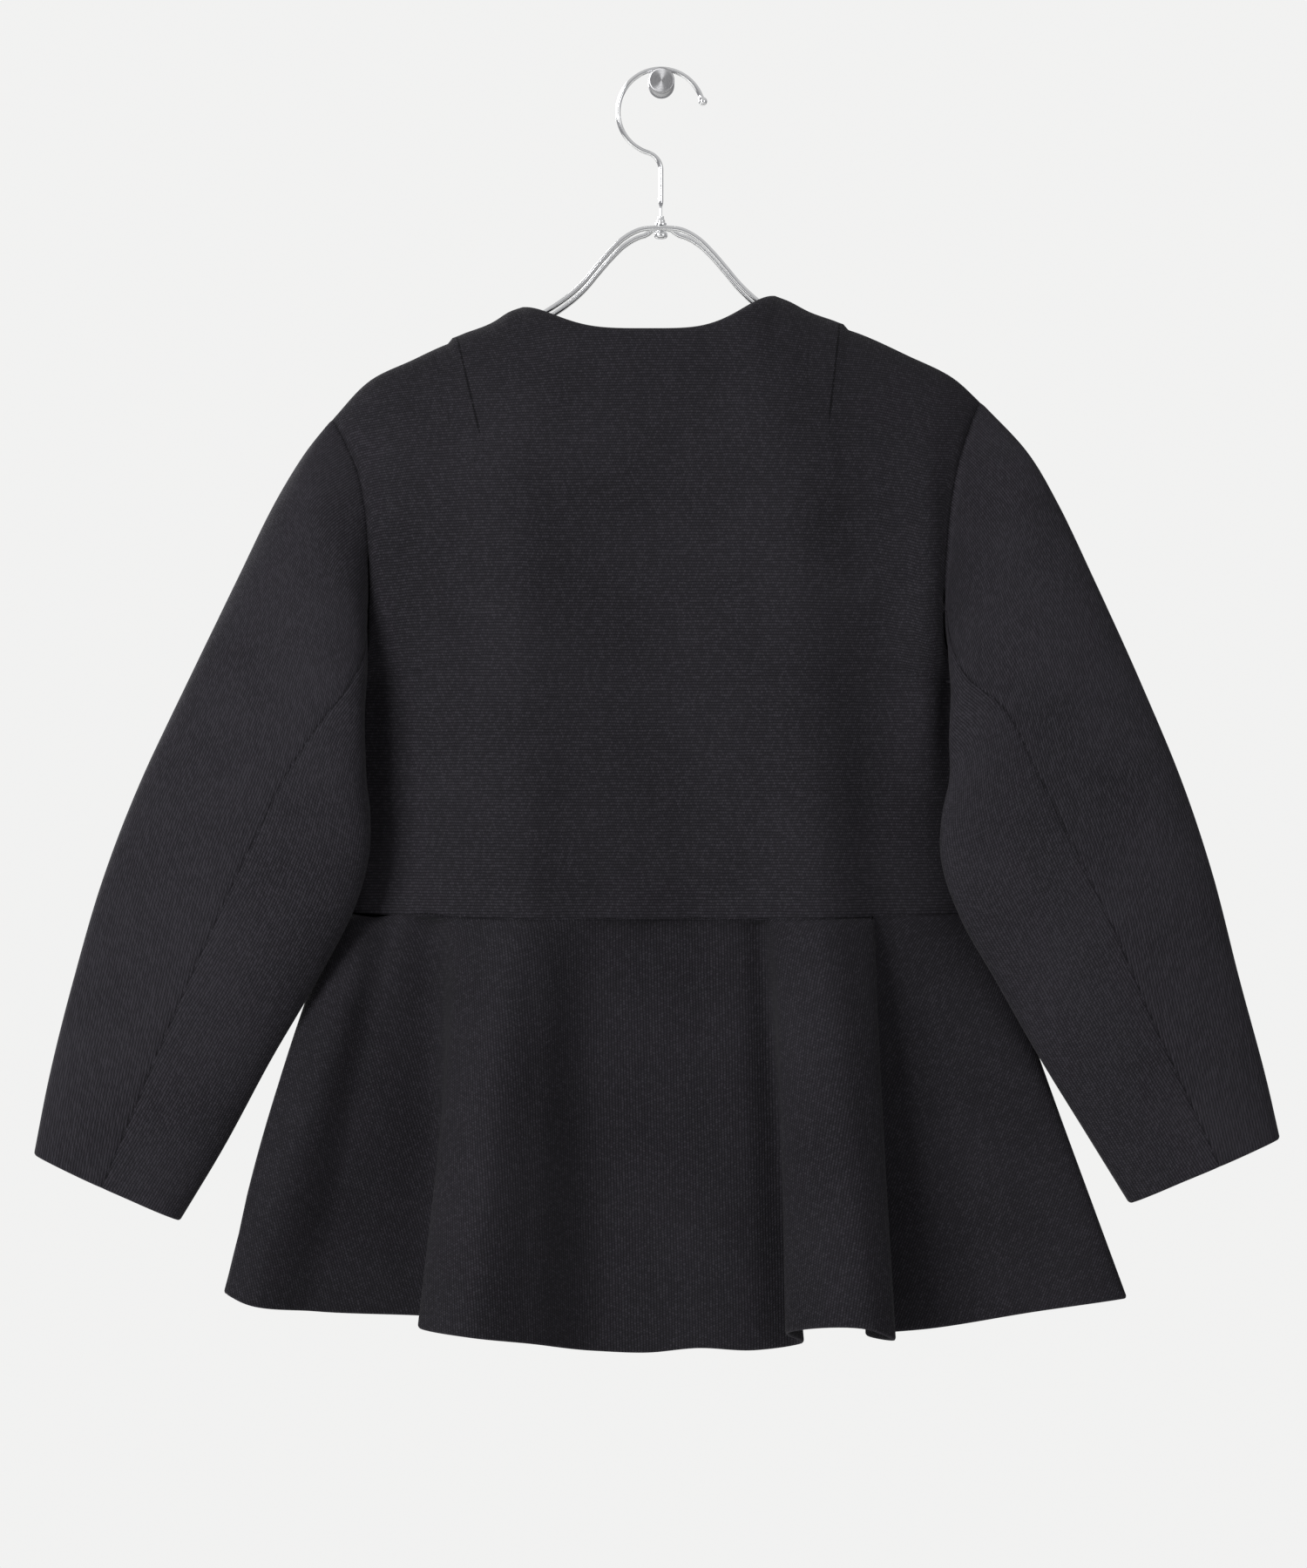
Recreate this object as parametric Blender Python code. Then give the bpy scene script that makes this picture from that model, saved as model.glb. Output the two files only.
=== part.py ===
# Collarless peplum jacket of black double knit on a wire hanger and a wall peg, its back to the viewer.
# Frame: +X to the viewer's right, +Y into the wall, +Z up, origin at the middle of the peg's wall face.
# Tables and sizes are in millimetres, and mesh points are scaled to metres when they are made.

import math
from collections import namedtuple

import bmesh
import bpy
import numpy as np

MM = 0.001

# Cloth
CLOTH_THICKNESS = 2.2
SEAM_GAP = 0.3
FRONT_OPENING = 2.0
WELD_SIZE = 0.02
WELD_PHASE = 0.137
VALLEY_LIMIT = 0.25
CLOTH_SHARP_ANGLE = 50.0
BODY_MIDDLE = (0.0, -40.0, -400.0)
# Facing rims of two panels are split along the same diagonals, chosen by height along this direction
RIM_ORDER = (0.37, 0.11, 1.0)

# Bodice
WAIST_Z = -472.0
WAIST_SAG = 4.0
WAIST_HALF_WIDTH = 185.0
SIDE_Y = -30.0
RIDGE_Y = -15.0
NECK_BACK_X = -7.0
NECK_BACK_Y = -44.0
NECK_BACK_Z = -142.0
NECK_FRONT_Z = -215.0
NECK_FRONT_Y = -7.0
NECK_FRONT_POWER = 1.25
NECK_FRONT_SQUARENESS = 4
NECK_BACK_POWER = 2.1
NECK_BACK_SQUARENESS = 6.5
FRONT_Y = -6.0
BACK_SHOULDER_DROP = 110.0
FRONT_SHOULDER_DROP = 30.0
SECTION_POWER = 2.1
UNDERARM_ANGLE = 180.0

# Grid counts, and the share of a waist column's place that is eased towards the panel's ends
EASED_SHARE = 0.5
ARM_STEP = 15.0
ARM_ROWS = 12
SIDE_ROWS = 5
SHOULDER_COLS = 6
NECK_BACK_COLS = 14
NECK_FRONT_COLS = 7
SLEEVE_ROWS = 15
UPPER_COLS = 16
UNDER_COLS = 8
PEPLUM_ROWS = 8
PEPLUM_COLS_PER_FOLD = 3

# Shoulder line from the sleeve to the neck, as seen from the back
ShoulderPoint = namedtuple("ShoulderPoint", "name x z")
SHOULDER = {
    "left": (
        ShoulderPoint("tip", -188.0, -192.0),
        ShoulderPoint("corner", -165.5, -170.0),
        ShoulderPoint("dart", -118.4, -145.0),
        ShoulderPoint("neck", -80.0, -128.0),
    ),
    "right": (
        ShoulderPoint("tip", 182.0, -182.0),
        ShoulderPoint("corner", 169.0, -170.5),
        ShoulderPoint("dart", 103.3, -140.5),
        ShoulderPoint("neck", 65.0, -121.5),
    ),
}

# Armhole seam, by its angle from the shoulder tip over the back to the underarm and up the front
ArmholePoint = namedtuple("ArmholePoint", "name angle x y z")
ARMHOLE = {
    "left": (
        ArmholePoint("tip", 0, -188.0, -15.0, -192.0),
        ArmholePoint("back_high", 45, -172.0, -42.0, -224.0),
        ArmholePoint("back_mid", 90, -166.0, -58.0, -266.0),
        ArmholePoint("back_low", 135, -166.5, -60.0, -318.0),
        ArmholePoint("underarm", 180, -177.0, -42.0, -350.0),
        ArmholePoint("front_low", 225, -173.0, -15.0, -320.0),
        ArmholePoint("front_mid", 270, -168.0, -8.0, -268.0),
        ArmholePoint("front_high", 315, -175.0, -9.0, -226.0),
    ),
    "right": (
        ArmholePoint("tip", 0, 182.0, -15.0, -182.0),
        ArmholePoint("back_high", 45, 169.0, -42.0, -216.0),
        ArmholePoint("back_mid", 90, 162.0, -58.0, -262.0),
        ArmholePoint("back_low", 135, 161.0, -60.0, -318.0),
        ArmholePoint("underarm", 180, 177.0, -42.0, -350.0),
        ArmholePoint("front_low", 225, 173.0, -15.0, -320.0),
        ArmholePoint("front_mid", 270, 168.0, -8.0, -268.0),
        ArmholePoint("front_high", 315, 174.0, -9.0, -222.0),
    ),
}

# Depth of the bodice at the middle of the back, by height
BackSection = namedtuple("BackSection", "z back_y fold_share")
BACK_SECTIONS = (
    BackSection(WAIST_Z - WAIST_SAG, -86.0, 1.0),
    BackSection(-400.0, -82.0, 0.9),
    BackSection(-330.0, -78.0, 0.7),
    BackSection(-250.0, -74.0, 0.35),
    BackSection(-142.0, -66.0, 0.0),
    BackSection(-120.0, -66.0, 0.0),
)

# Soft upright folds of the back bodice, rising towards the viewer where rise is above zero
BodiceFold = namedtuple("BodiceFold", "name waist_x chest_x width rise")
BODICE_FOLDS = (
    BodiceFold("left_hollow", -150.0, -146.0, 20.0, -6.0),
    BodiceFold("left_roll", -78.0, -86.0, 27.0, 11.5),
    BodiceFold("middle_hollow", 22.0, 2.0, 42.0, -9.0),
    BodiceFold("right_roll", 92.0, 74.0, 25.0, 9.0),
    BodiceFold("right_hollow", 132.0, 118.0, 26.0, -7.0),
)
FOLD_CHEST_Z = -250.0

# Sleeve sections: the outer and inner edges as seen, how far the tube stands out on its back and wall
# sides, how far those sides lean towards and away from the body, and the back seam's angle
SleeveSection = namedtuple("SleeveSection", "name outer_x outer_z outer_y inner_x inner_z inner_y "
                                            "back_depth wall_depth back_lean wall_lean seam")
SLEEVE = {
    "left": (
        SleeveSection("cap", -203.5, -213, -20, -181.0, -364.0, -48, 42, 14, 32, 10, 120),
        SleeveSection("upper_arm", -219.0, -240, -30, -170.0, -384.0, -64, 36, 26, 16, 22, 116),
        SleeveSection("biceps", -240.0, -284, -38, -164.5, -404.0, -74, 30, 24, 4, 14, 108),
        SleeveSection("above_elbow", -268.0, -343, -45, -163.0, -434.0, -77, 27, 18, 0, 0, 97),
        SleeveSection("elbow", -293.0, -397, -50, -171.0, -467.0, -72, 26, 18, 0, 0, 93),
        SleeveSection("below_elbow", -314.0, -451, -52, -192.5, -509.0, -66, 24, 18, 0, 0, 92),
        SleeveSection("forearm", -331.0, -508, -50, -219.5, -555.0, -60, 21, 17, 0, 0, 91),
        SleeveSection("wrist", -346.0, -567, -47, -248.0, -607.0, -52, 18, 16, 0, 0, 89),
        SleeveSection("cuff", -354.5, -609, -44, -272.0, -646.5, -46, 17, 15, 0, 0, 88),
    ),
    "right": (
        SleeveSection("cap", 208.5, -212, -23, 181.0, -364.0, -48, 24, 14, 38, 10, 118),
        SleeveSection("upper_arm", 225.0, -242, -36, 168.0, -384.0, -62, 19, 26, 23, 22, 112),
        SleeveSection("biceps", 244.0, -284, -47, 160.0, -404.0, -71, 18, 24, 4, 14, 102),
        SleeveSection("above_elbow", 270.0, -343, -55, 156.0, -438.0, -75, 18, 18, 0, 0, 93),
        SleeveSection("elbow", 293.0, -400, -60, 167.0, -474.0, -72, 19, 18, 0, 0, 89),
        SleeveSection("below_elbow", 309.5, -450, -61, 188.0, -511.0, -66, 19, 18, 0, 0, 87),
        SleeveSection("forearm", 324.5, -508, -60, 212.0, -553.0, -60, 19, 17, 0, 0, 85),
        SleeveSection("wrist", 340.5, -566, -55, 240.0, -598.0, -52, 17, 16, 0, 0, 82),
        SleeveSection("cuff", 348.6, -599.5, -50, 264.0, -636.5, -46, 17, 15, 0, 0, 80),
    ),
}
ARMHOLE_SEAM_ANGLE = 120.0
FRONT_SEAM_ANGLE = -110.0
# Power of the round share at the tube's outer and inner edges: below one is blunter than an ellipse
SLEEVE_OUTER_ROUND = {"left": 0.75, "right": 0.75}
SLEEVE_INNER_ROUND = {"left": 1.05, "right": 0.6}

# Peplum folds from the left front edge round the back to the right front edge. A lower onset lets a
# fold reach its depth sooner below the waist seam.
PeplumFold = namedtuple("PeplumFold", "name panel waist_x hem_x hem_y hem_z onset")
PEPLUM = (
    PeplumFold("left_opening", "front_left", -FRONT_OPENING / 2, -4.0, -9.0, -702.0, 0.62),
    PeplumFold("left_front_hollow", "front_left", -42.0, -58.0, -23.0, -703.0, 0.62),
    PeplumFold("left_front_roll", "front_left", -84.0, -106.0, -8.0, -703.0, 0.62),
    PeplumFold("left_front_side_hollow", "front_left", -124.0, -152.0, -17.0, -699.0, 0.62),
    PeplumFold("left_front_side_roll", "front_left", -160.0, -206.0, -14.0, -694.0, 0.62),
    PeplumFold("left_front_turn", "front_left", -179.0, -238.0, -48.0, -689.0, 0.62),
    PeplumFold("left_side", "side_left", -WAIST_HALF_WIDTH, -244.5, -72.0, -685.5, 0.5),
    PeplumFold("left_back_turn", "back", -172.0, -235.0, -78.0, -690.0, 0.45),
    PeplumFold("left_panel", "back", -150.0, -194.0, -60.0, -696.5, 0.45),
    PeplumFold("left_valley", "back", -123.0, -124.0, -54.0, -701.0, 0.3),
    PeplumFold("left_flute_edge", "back", -108.0, -136.0, -88.0, -703.0, 0.62),
    PeplumFold("left_flute_crest", "back", -86.0, -106.0, -117.0, -706.0, 0.62),
    PeplumFold("left_flute_flank", "back", -66.0, -73.0, -99.0, -711.0, 0.6),
    PeplumFold("middle_valley", "back", -42.0, -36.0, -68.0, -718.0, 0.5),
    PeplumFold("middle_left", "back", -12.0, -8.0, -67.0, -719.0, 0.3),
    PeplumFold("middle", "back", 16.0, 20.0, -67.0, -716.5, 0.32),
    PeplumFold("middle_right", "back", 42.0, 52.0, -64.0, -718.0, 0.35),
    PeplumFold("right_valley", "back", 56.0, 77.0, -59.0, -715.0, 0.3),
    PeplumFold("right_flute_edge", "back", 66.0, 69.0, -90.0, -706.0, 0.62),
    PeplumFold("right_flute_crest", "back", 97.0, 117.0, -118.0, -702.0, 0.62),
    PeplumFold("right_flute_side", "back", 113.0, 129.0, -107.0, -707.5, 0.62),
    PeplumFold("right_inner_valley", "back", 122.0, 118.0, -62.0, -709.0, 0.62),
    PeplumFold("right_panel_start", "back", 140.0, 150.0, -63.0, -706.0, 0.62),
    PeplumFold("right_panel", "back", 162.0, 206.0, -63.0, -697.0, 0.62),
    PeplumFold("right_side", "side_right", WAIST_HALF_WIDTH, 261.0, -64.0, -688.5, 0.62),
    PeplumFold("right_front_side_roll", "front_right", 160.0, 220.0, -12.0, -694.0, 0.62),
    PeplumFold("right_front_side_hollow", "front_right", 124.0, 156.0, -17.0, -699.0, 0.62),
    PeplumFold("right_front_roll", "front_right", 84.0, 108.0, -8.0, -703.0, 0.62),
    PeplumFold("right_front_hollow", "front_right", 42.0, 60.0, -23.0, -703.0, 0.62),
    PeplumFold("right_opening", "front_right", FRONT_OPENING / 2, 4.0, -9.0, -702.0, 0.62),
)

# Hanger
HANGER_Y = -20.5
BAR_WIRE = 3.0
BAR_SIDES = 8
BAR_DROP = 12.5
BAR_SPREAD_MIDDLE = 6.6
BAR_SPREAD_END = 9.5
BAR_SPREAD_FROM = 62.0
BAR_SPREAD_TO = 125.0
BAR_TWIST = 0.28
BAR_STEP = 7.0
BAR_END_SEGMENTS = 6
BarPoint = namedtuple("BarPoint", "name half_span z")
BAR_ARCH = (
    BarPoint("middle", 0.0, -83.8),
    BarPoint("crown", 12.0, -84.8),
    BarPoint("bend", 21.0, -89.6),
    BarPoint("slope_high", 29.0, -97.2),
    BarPoint("slope_mid", 36.5, -105.8),
    BarPoint("slope_low", 44.0, -114.8),
)
BAR_ENTRY_OUT = 6.0
BAR_ENTRY_POINTS = 4
BAR_END_SPAN = {"left": -148.0, "right": 148.0}

HOOK_WIRE = 2.8
HOOK_RADIUS = 24.4
HOOK_CENTRE_X = -0.3
HOOK_CENTRE_Z = -17.25
HOOK_TIP_ANGLE = 20.0
HOOK_NECK_ANGLE = 253.0
HOOK_STEP_DEGREES = 9.0
HOOK_SIDES = 12
HOOK_BALL = 5.0
HOOK_BALL_STEPS = 6
HOOK_BALL_TIP_TURN = 11.0
HOOK_BALL_NECK_TURN = 144.0
SHANK_NECK_STEPS = 5
SHANK_END_Z = -89.0

COLLAR_TOP_Z = -76.6
COLLAR_WIDTH = 6.4
NUT_BOTTOM_Z = -89.4
NUT_WIDTH = 7.6
NUT_CHAMFER = 0.7
FIT_GAP = 0.3
TURNED_SIDES = 20
TURNED_SHARP_ANGLE = 30.0

PEG_RADIUS = 7.4
PEG_GROOVE_RADIUS = 5.4
PEG_BASE_LENGTH = 15.0
PEG_GROOVE_END = 24.5
PEG_LENGTH = 28.0
PEG_CHAMFER = 0.6
PEG_SIDES = 28

MaterialLook = namedtuple("MaterialLook", "name colour roughness metallic")
BLACK_KNIT = MaterialLook("black_double_knit", (0.022, 0.021, 0.026), 0.9, 0.0)
CHROME = MaterialLook("polished_chrome_wire", (0.80, 0.81, 0.83), 0.12, 1.0)
BRUSHED_STEEL = MaterialLook("brushed_steel", (0.60, 0.60, 0.61), 0.35, 1.0)


def clear_scene():
    for scene_object in list(bpy.data.objects):
        bpy.data.objects.remove(scene_object, do_unlink=True)


def material(look):
    made = bpy.data.materials.get(look.name)
    if made is None:
        made = bpy.data.materials.new(look.name)
        made.use_nodes = True
        shader = made.node_tree.nodes["Principled BSDF"]
        shader.inputs["Base Color"].default_value = (*look.colour, 1.0)
        shader.inputs["Roughness"].default_value = look.roughness
        shader.inputs["Metallic"].default_value = look.metallic
    return made


def smooth(knots, rows, at):
    # A cubic through the table's rows, with each slope weighted by the spans beside it
    knots = np.asarray(knots, float)
    rows = np.asarray(rows, float)
    at = np.asarray(at, float)
    spans = np.diff(knots).reshape((-1,) + (1,) * (rows.ndim - 1))
    rates = np.diff(rows, axis=0) / spans
    slopes = np.empty_like(rows)
    slopes[0] = rates[0]
    slopes[-1] = rates[-1]
    slopes[1:-1] = (rates[:-1] * spans[1:] + rates[1:] * spans[:-1]) / (spans[:-1] + spans[1:])
    cell = np.clip(np.searchsorted(knots, at, side="right") - 1, 0, len(knots) - 2)
    shape = at.shape + (1,) * (rows.ndim - 1)
    span = (knots[cell + 1] - knots[cell]).reshape(shape)
    t = (at - knots[cell]).reshape(shape) / span
    start = rows[cell] * (2 * t ** 3 - 3 * t ** 2 + 1) + slopes[cell] * span * (t ** 3 - 2 * t ** 2 + t)
    end = rows[cell + 1] * (3 * t ** 2 - 2 * t ** 3) + slopes[cell + 1] * span * (t ** 3 - t ** 2)
    return start + end


def chord_lengths(points):
    steps = np.linalg.norm(np.diff(points, axis=0), axis=1)
    return np.concatenate([[0.0], np.cumsum(steps)])


def shoulder_line(side):
    # Points along the shoulder seam from the sleeve to the neck
    table = SHOULDER[side]
    flat = np.array([(point.x, point.z) for point in table])
    along = chord_lengths(flat)
    at = np.linspace(0.0, along[-1], SHOULDER_COLS + 1)
    x = np.interp(at, along, flat[:, 0])
    z = np.interp(at, along, flat[:, 1])
    return np.column_stack([x, np.full_like(x, RIDGE_Y), z])


def armhole(side, angles):
    # Points of the closed armhole seam at the given angles
    table = ARMHOLE[side]
    turn = 360.0
    angle = np.array([point.angle for point in table], float)
    place = np.array([(point.x, point.y, point.z) for point in table])
    knots = np.concatenate([angle - turn, angle, angle + turn])
    return smooth(knots, np.concatenate([place, place, place]), np.asarray(angles, float))


def side_edge(side, half):
    # The outer edge of a bodice panel: the side seam, then the back or front half of the armhole
    sign = -1.0 if side == "left" else 1.0
    waist = np.array([sign * WAIST_HALF_WIDTH, SIDE_Y, WAIST_Z])
    underarm = armhole(side, [UNDERARM_ANGLE])[0]
    share = np.linspace(0.0, 1.0, SIDE_ROWS + 1)[:-1, None]
    seam = waist + (underarm - waist) * share
    steps = np.arange(ARM_ROWS + 1) * ARM_STEP
    angles = UNDERARM_ANGLE - steps if half == "back" else UNDERARM_ANGLE + steps
    return np.concatenate([seam, armhole(side, angles)])


def waist_z(x):
    return WAIST_Z - WAIST_SAG * (1.0 - (x / WAIST_HALF_WIDTH) ** 2)


def section_profile(across):
    # One in the middle of a section, falling round to zero at its side
    return np.sqrt(np.clip(1.0 - np.abs(across) ** SECTION_POWER, 0.0, 1.0))


def back_section(z):
    rows = sorted(BACK_SECTIONS, key=lambda row: row.z)
    heights = [row.z for row in rows]
    depth = smooth(heights, [row.back_y for row in rows], np.clip(z, heights[0], heights[-1]))
    share = np.interp(z, heights, [row.fold_share for row in rows])
    return depth, share


def bodice_folds(x, z, share):
    # How far the upright folds move the back towards the wall
    rise = np.zeros_like(x)
    height = np.clip((z - WAIST_Z) / (FOLD_CHEST_Z - WAIST_Z), 0.0, 1.0)
    for fold in BODICE_FOLDS:
        middle = fold.waist_x + (fold.chest_x - fold.waist_x) * height
        rise += fold.rise * np.exp(-((x - middle) / fold.width) ** 2)
    return -rise * share


def waist_point(x, half):
    # A point of the waist seam at this width, on the back or the front
    across = x / WAIST_HALF_WIDTH
    z = waist_z(x)
    if half == "back":
        depth, share = back_section(z)
        depth = depth + bodice_folds(x, z, share)
    else:
        depth = np.full_like(x, FRONT_Y)
    y = SIDE_Y + (depth - SIDE_Y) * section_profile(across)
    return np.stack([x, y, z], axis=-1)


def spread(count, start, end):
    # Places from start to end, closer together near both ends
    share = np.linspace(0.0, 1.0, count + 1)
    eased = (1.0 - np.cos(math.pi * share)) / 2.0
    return start + (end - start) * (share + (eased - share) * EASED_SHARE)


def coons(bottom, top, left, right):
    # Fills a four-sided panel in x and z from its edges
    up = (left[:, 2] - left[0, 2]) / (left[-1, 2] - left[0, 2])
    across_low = (bottom[:, 0] - bottom[0, 0]) / (bottom[-1, 0] - bottom[0, 0])
    across_high = (top[:, 0] - top[0, 0]) / (top[-1, 0] - top[0, 0])
    v = up[:, None, None]
    u = ((across_low + across_high) / 2.0)[None, :, None]
    ruled = (1 - v) * bottom[None] + v * top[None] + (1 - u) * left[:, None] + u * right[:, None]
    corners = ((1 - u) * (1 - v) * bottom[0] + u * (1 - v) * bottom[-1]
               + (1 - u) * v * top[0] + u * v * top[-1])
    return ruled - corners


def below_top(grid, drop):
    # Share of the full depth reached below the panel's top edge, rounding over the shoulder
    fall = np.clip((grid[-1:, :, 2] - grid[:, :, 2]) / drop, 0.0, 1.0)
    return np.sqrt(1.0 - (1.0 - fall) ** 2)


def back_bodice_grid():
    left_neck = SHOULDER["left"][-1]
    right_neck = SHOULDER["right"][-1]
    turn = np.sin(np.linspace(-0.5, 0.5, NECK_BACK_COLS + 1) * math.pi)[1:-1]
    reach = np.where(turn < 0, NECK_BACK_X - left_neck.x, right_neck.x - NECK_BACK_X)
    tip_z = np.where(turn < 0, left_neck.z, right_neck.z)
    neck_x = NECK_BACK_X + turn * reach
    neck_y = RIDGE_Y + (NECK_BACK_Y - RIDGE_Y) * (1.0 - np.abs(turn) ** NECK_BACK_SQUARENESS)
    neck_z = NECK_BACK_Z + (tip_z - NECK_BACK_Z) * np.abs(turn) ** NECK_BACK_POWER
    neck = np.column_stack([neck_x, neck_y, neck_z])
    top = np.concatenate([shoulder_line("left"), neck, shoulder_line("right")[::-1]])
    left = side_edge("left", "back")
    right = side_edge("right", "back")
    bottom = waist_point(spread(len(top) - 1, -WAIST_HALF_WIDTH, WAIST_HALF_WIDTH), "back")
    grid = coons(bottom, top, left, right)
    x, z = grid[:, :, 0], grid[:, :, 2]
    middle = (left[:, 0] + right[:, 0])[:, None] / 2.0
    half = (right[:, 0] - left[:, 0])[:, None] / 2.0
    across = (x - middle) / half
    depth, share = back_section(z)
    depth = depth + bodice_folds(x, z, share)
    rounded = top[None, :, 1] + (depth - top[None, :, 1]) * below_top(grid, BACK_SHOULDER_DROP)
    edge = np.where(across < 0, left[:, None, 1], right[:, None, 1])
    grid[:, :, 1] = edge + (rounded - edge) * section_profile(across)
    return grid


def front_bodice_grid(side):
    sign = -1.0 if side == "left" else 1.0
    opening_x = sign * FRONT_OPENING / 2.0
    neck_tip = SHOULDER[side][-1]
    share = np.linspace(0.0, 1.0, NECK_FRONT_COLS + 1)[1:]
    round_share = np.sin(share * math.pi / 2.0)
    neck_x = neck_tip.x + (opening_x - neck_tip.x) * share ** NECK_FRONT_POWER
    neck_z = neck_tip.z + (NECK_FRONT_Z - neck_tip.z) * round_share
    neck_y = NECK_FRONT_Y + (RIDGE_Y - NECK_FRONT_Y) * (1.0 - share) ** NECK_FRONT_SQUARENESS
    top = np.concatenate([shoulder_line(side), np.column_stack([neck_x, neck_y, neck_z])])
    outer = side_edge(side, "front")
    bottom = waist_point(spread(len(top) - 1, sign * WAIST_HALF_WIDTH, opening_x), "front")
    share = ((outer[:, 2] - outer[0, 2]) / (outer[-1, 2] - outer[0, 2]))[:, None]
    opening = bottom[-1] + (top[-1] - bottom[-1]) * share
    grid = coons(bottom, top, outer, opening)
    across = (grid[:, :, 0] - opening[:, None, 0]) / (outer[:, 0] - opening[:, 0])[:, None]
    rounded = top[None, :, 1] + (FRONT_Y - top[None, :, 1]) * below_top(grid, FRONT_SHOULDER_DROP)
    edge = outer[:, None, 1]
    grid[:, :, 1] = edge + (rounded - edge) * section_profile(across)
    return grid


def sleeve_ring(side, section, angles):
    # A flattened tube section: angle 0 is the outer edge, 90 the back, 180 the inner edge, 270 the wall side
    turn = np.radians(angles)
    outer = np.array([section.outer_x, section.outer_y, section.outer_z])
    inner = np.array([section.inner_x, section.inner_y, section.inner_z])
    centre = (outer + inner) / 2.0
    round_share = np.abs(np.sin(turn))
    behind = np.sin(turn) > 0
    to_body = -np.sign(section.outer_x)
    ring = centre + (outer - centre) * np.cos(turn)[:, None]
    inward = (1.0 - np.cos(turn)) / 2.0
    ring[:, 0] += to_body * np.where(behind, section.back_lean, -section.wall_lean) * round_share * inward
    power = SLEEVE_OUTER_ROUND[side] * (1.0 - inward) + SLEEVE_INNER_ROUND[side] * inward
    ring[:, 1] += np.where(behind, -section.back_depth, section.wall_depth) * round_share ** power
    return ring


def sleeve_grid(side, piece):
    # Rings of one sleeve piece, from the armhole seam down to the cuff
    cols = UPPER_COLS if piece == "upper" else UNDER_COLS
    share = np.linspace(0.0, 1.0, cols + 1)
    rings = []
    middles = []
    seams = [(ARMHOLE_SEAM_ANGLE, -ARMHOLE_SEAM_ANGLE)]
    seams += [(section.seam, FRONT_SEAM_ANGLE) for section in SLEEVE[side]]
    for number, (back_seam, front_seam) in enumerate(seams):
        start, end = (front_seam, back_seam) if piece == "upper" else (back_seam, front_seam + 360.0)
        angles = start + (end - start) * share
        whole = np.arange(0.0, 360.0, ARM_STEP)
        if number == 0:
            rings.append(armhole(side, angles))
            middles.append(armhole(side, whole).mean(axis=0))
        else:
            section = SLEEVE[side][number - 1]
            rings.append(sleeve_ring(side, section, angles))
            middles.append(sleeve_ring(side, section, whole).mean(axis=0))
    along = chord_lengths(np.array(middles))
    rows = np.linspace(0.0, along[-1], SLEEVE_ROWS + 1)
    core = smooth(along, np.array(middles), rows)
    return smooth(along, np.array(rings), rows), core


def peplum_grids():
    # The waist seam and the hem are read along the same fold table, then joined by rows in between
    hem = np.array([(fold.hem_x, fold.hem_y, fold.hem_z) for fold in PEPLUM])
    waist = np.array([waist_point(np.array(fold.waist_x), "back" if fold.panel == "back" else "front")
                      for fold in PEPLUM])
    along = chord_lengths(hem)
    steps = np.arange(PEPLUM_COLS_PER_FOLD) / PEPLUM_COLS_PER_FOLD
    at = np.concatenate([along[:-1, None] + np.diff(along)[:, None] * steps, [[along[-1]] * len(steps)]])
    at = at.reshape(-1)[:(len(PEPLUM) - 1) * PEPLUM_COLS_PER_FOLD + 1]
    hem_line = smooth(along, hem, at)
    side_places = [number for number, fold in enumerate(PEPLUM) if fold.panel.startswith("side")]
    stops = [0, *side_places, len(PEPLUM) - 1]
    waist_x = np.empty_like(at)
    for start, end in zip(stops, stops[1:]):
        columns = slice(start * PEPLUM_COLS_PER_FOLD, end * PEPLUM_COLS_PER_FOLD + 1)
        waist_x[columns] = smooth(along[start:end + 1], waist[start:end + 1, 0], at[columns])
    first, last = (place * PEPLUM_COLS_PER_FOLD for place in side_places)
    waist_line = waist_point(waist_x, "front")
    waist_line[first:last + 1] = waist_point(waist_x[first:last + 1], "back")
    onset = smooth(along, [fold.onset for fold in PEPLUM], at)
    down = np.linspace(0.0, 1.0, PEPLUM_ROWS + 1)[:, None, None]
    grid = waist_line + (hem_line - waist_line) * down
    grid[:, :, 1] = waist_line[:, 1] + (hem_line[:, 1] - waist_line[:, 1]) * down[:, :, 0] ** onset
    return {
        "peplum_front_left": grid[:, :first + 1],
        "peplum_back": grid[:, first:last + 1],
        "peplum_front_right": grid[:, last:],
    }


def quad_normals(grid):
    return np.cross(grid[1:, 1:] - grid[:-1, :-1], grid[1:, :-1] - grid[:-1, 1:])


def facing_out(grid, core):
    # Turns a grid round where its faces look towards the inside of the garment
    centre = (grid[1:, 1:] + grid[:-1, :-1]) / 2.0
    look = np.sum(quad_normals(grid) * (centre - core))
    return grid if look > 0 else grid[:, ::-1]


def seam_key(point):
    # Points of two panels that lie within the weld size share a key
    return tuple(np.floor(point / WELD_SIZE + WELD_PHASE))


def unit(vectors):
    return vectors / np.linalg.norm(vectors, axis=-1, keepdims=True)


def panel_normals(grid):
    faces = quad_normals(grid)
    sums = np.zeros_like(grid)
    for down in (slice(None, -1), slice(1, None)):
        for along in (slice(None, -1), slice(1, None)):
            sums[down, along] += faces
    return sums


def sewn_group(name):
    return "sleeve" if "sleeve" in name else "body"


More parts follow.
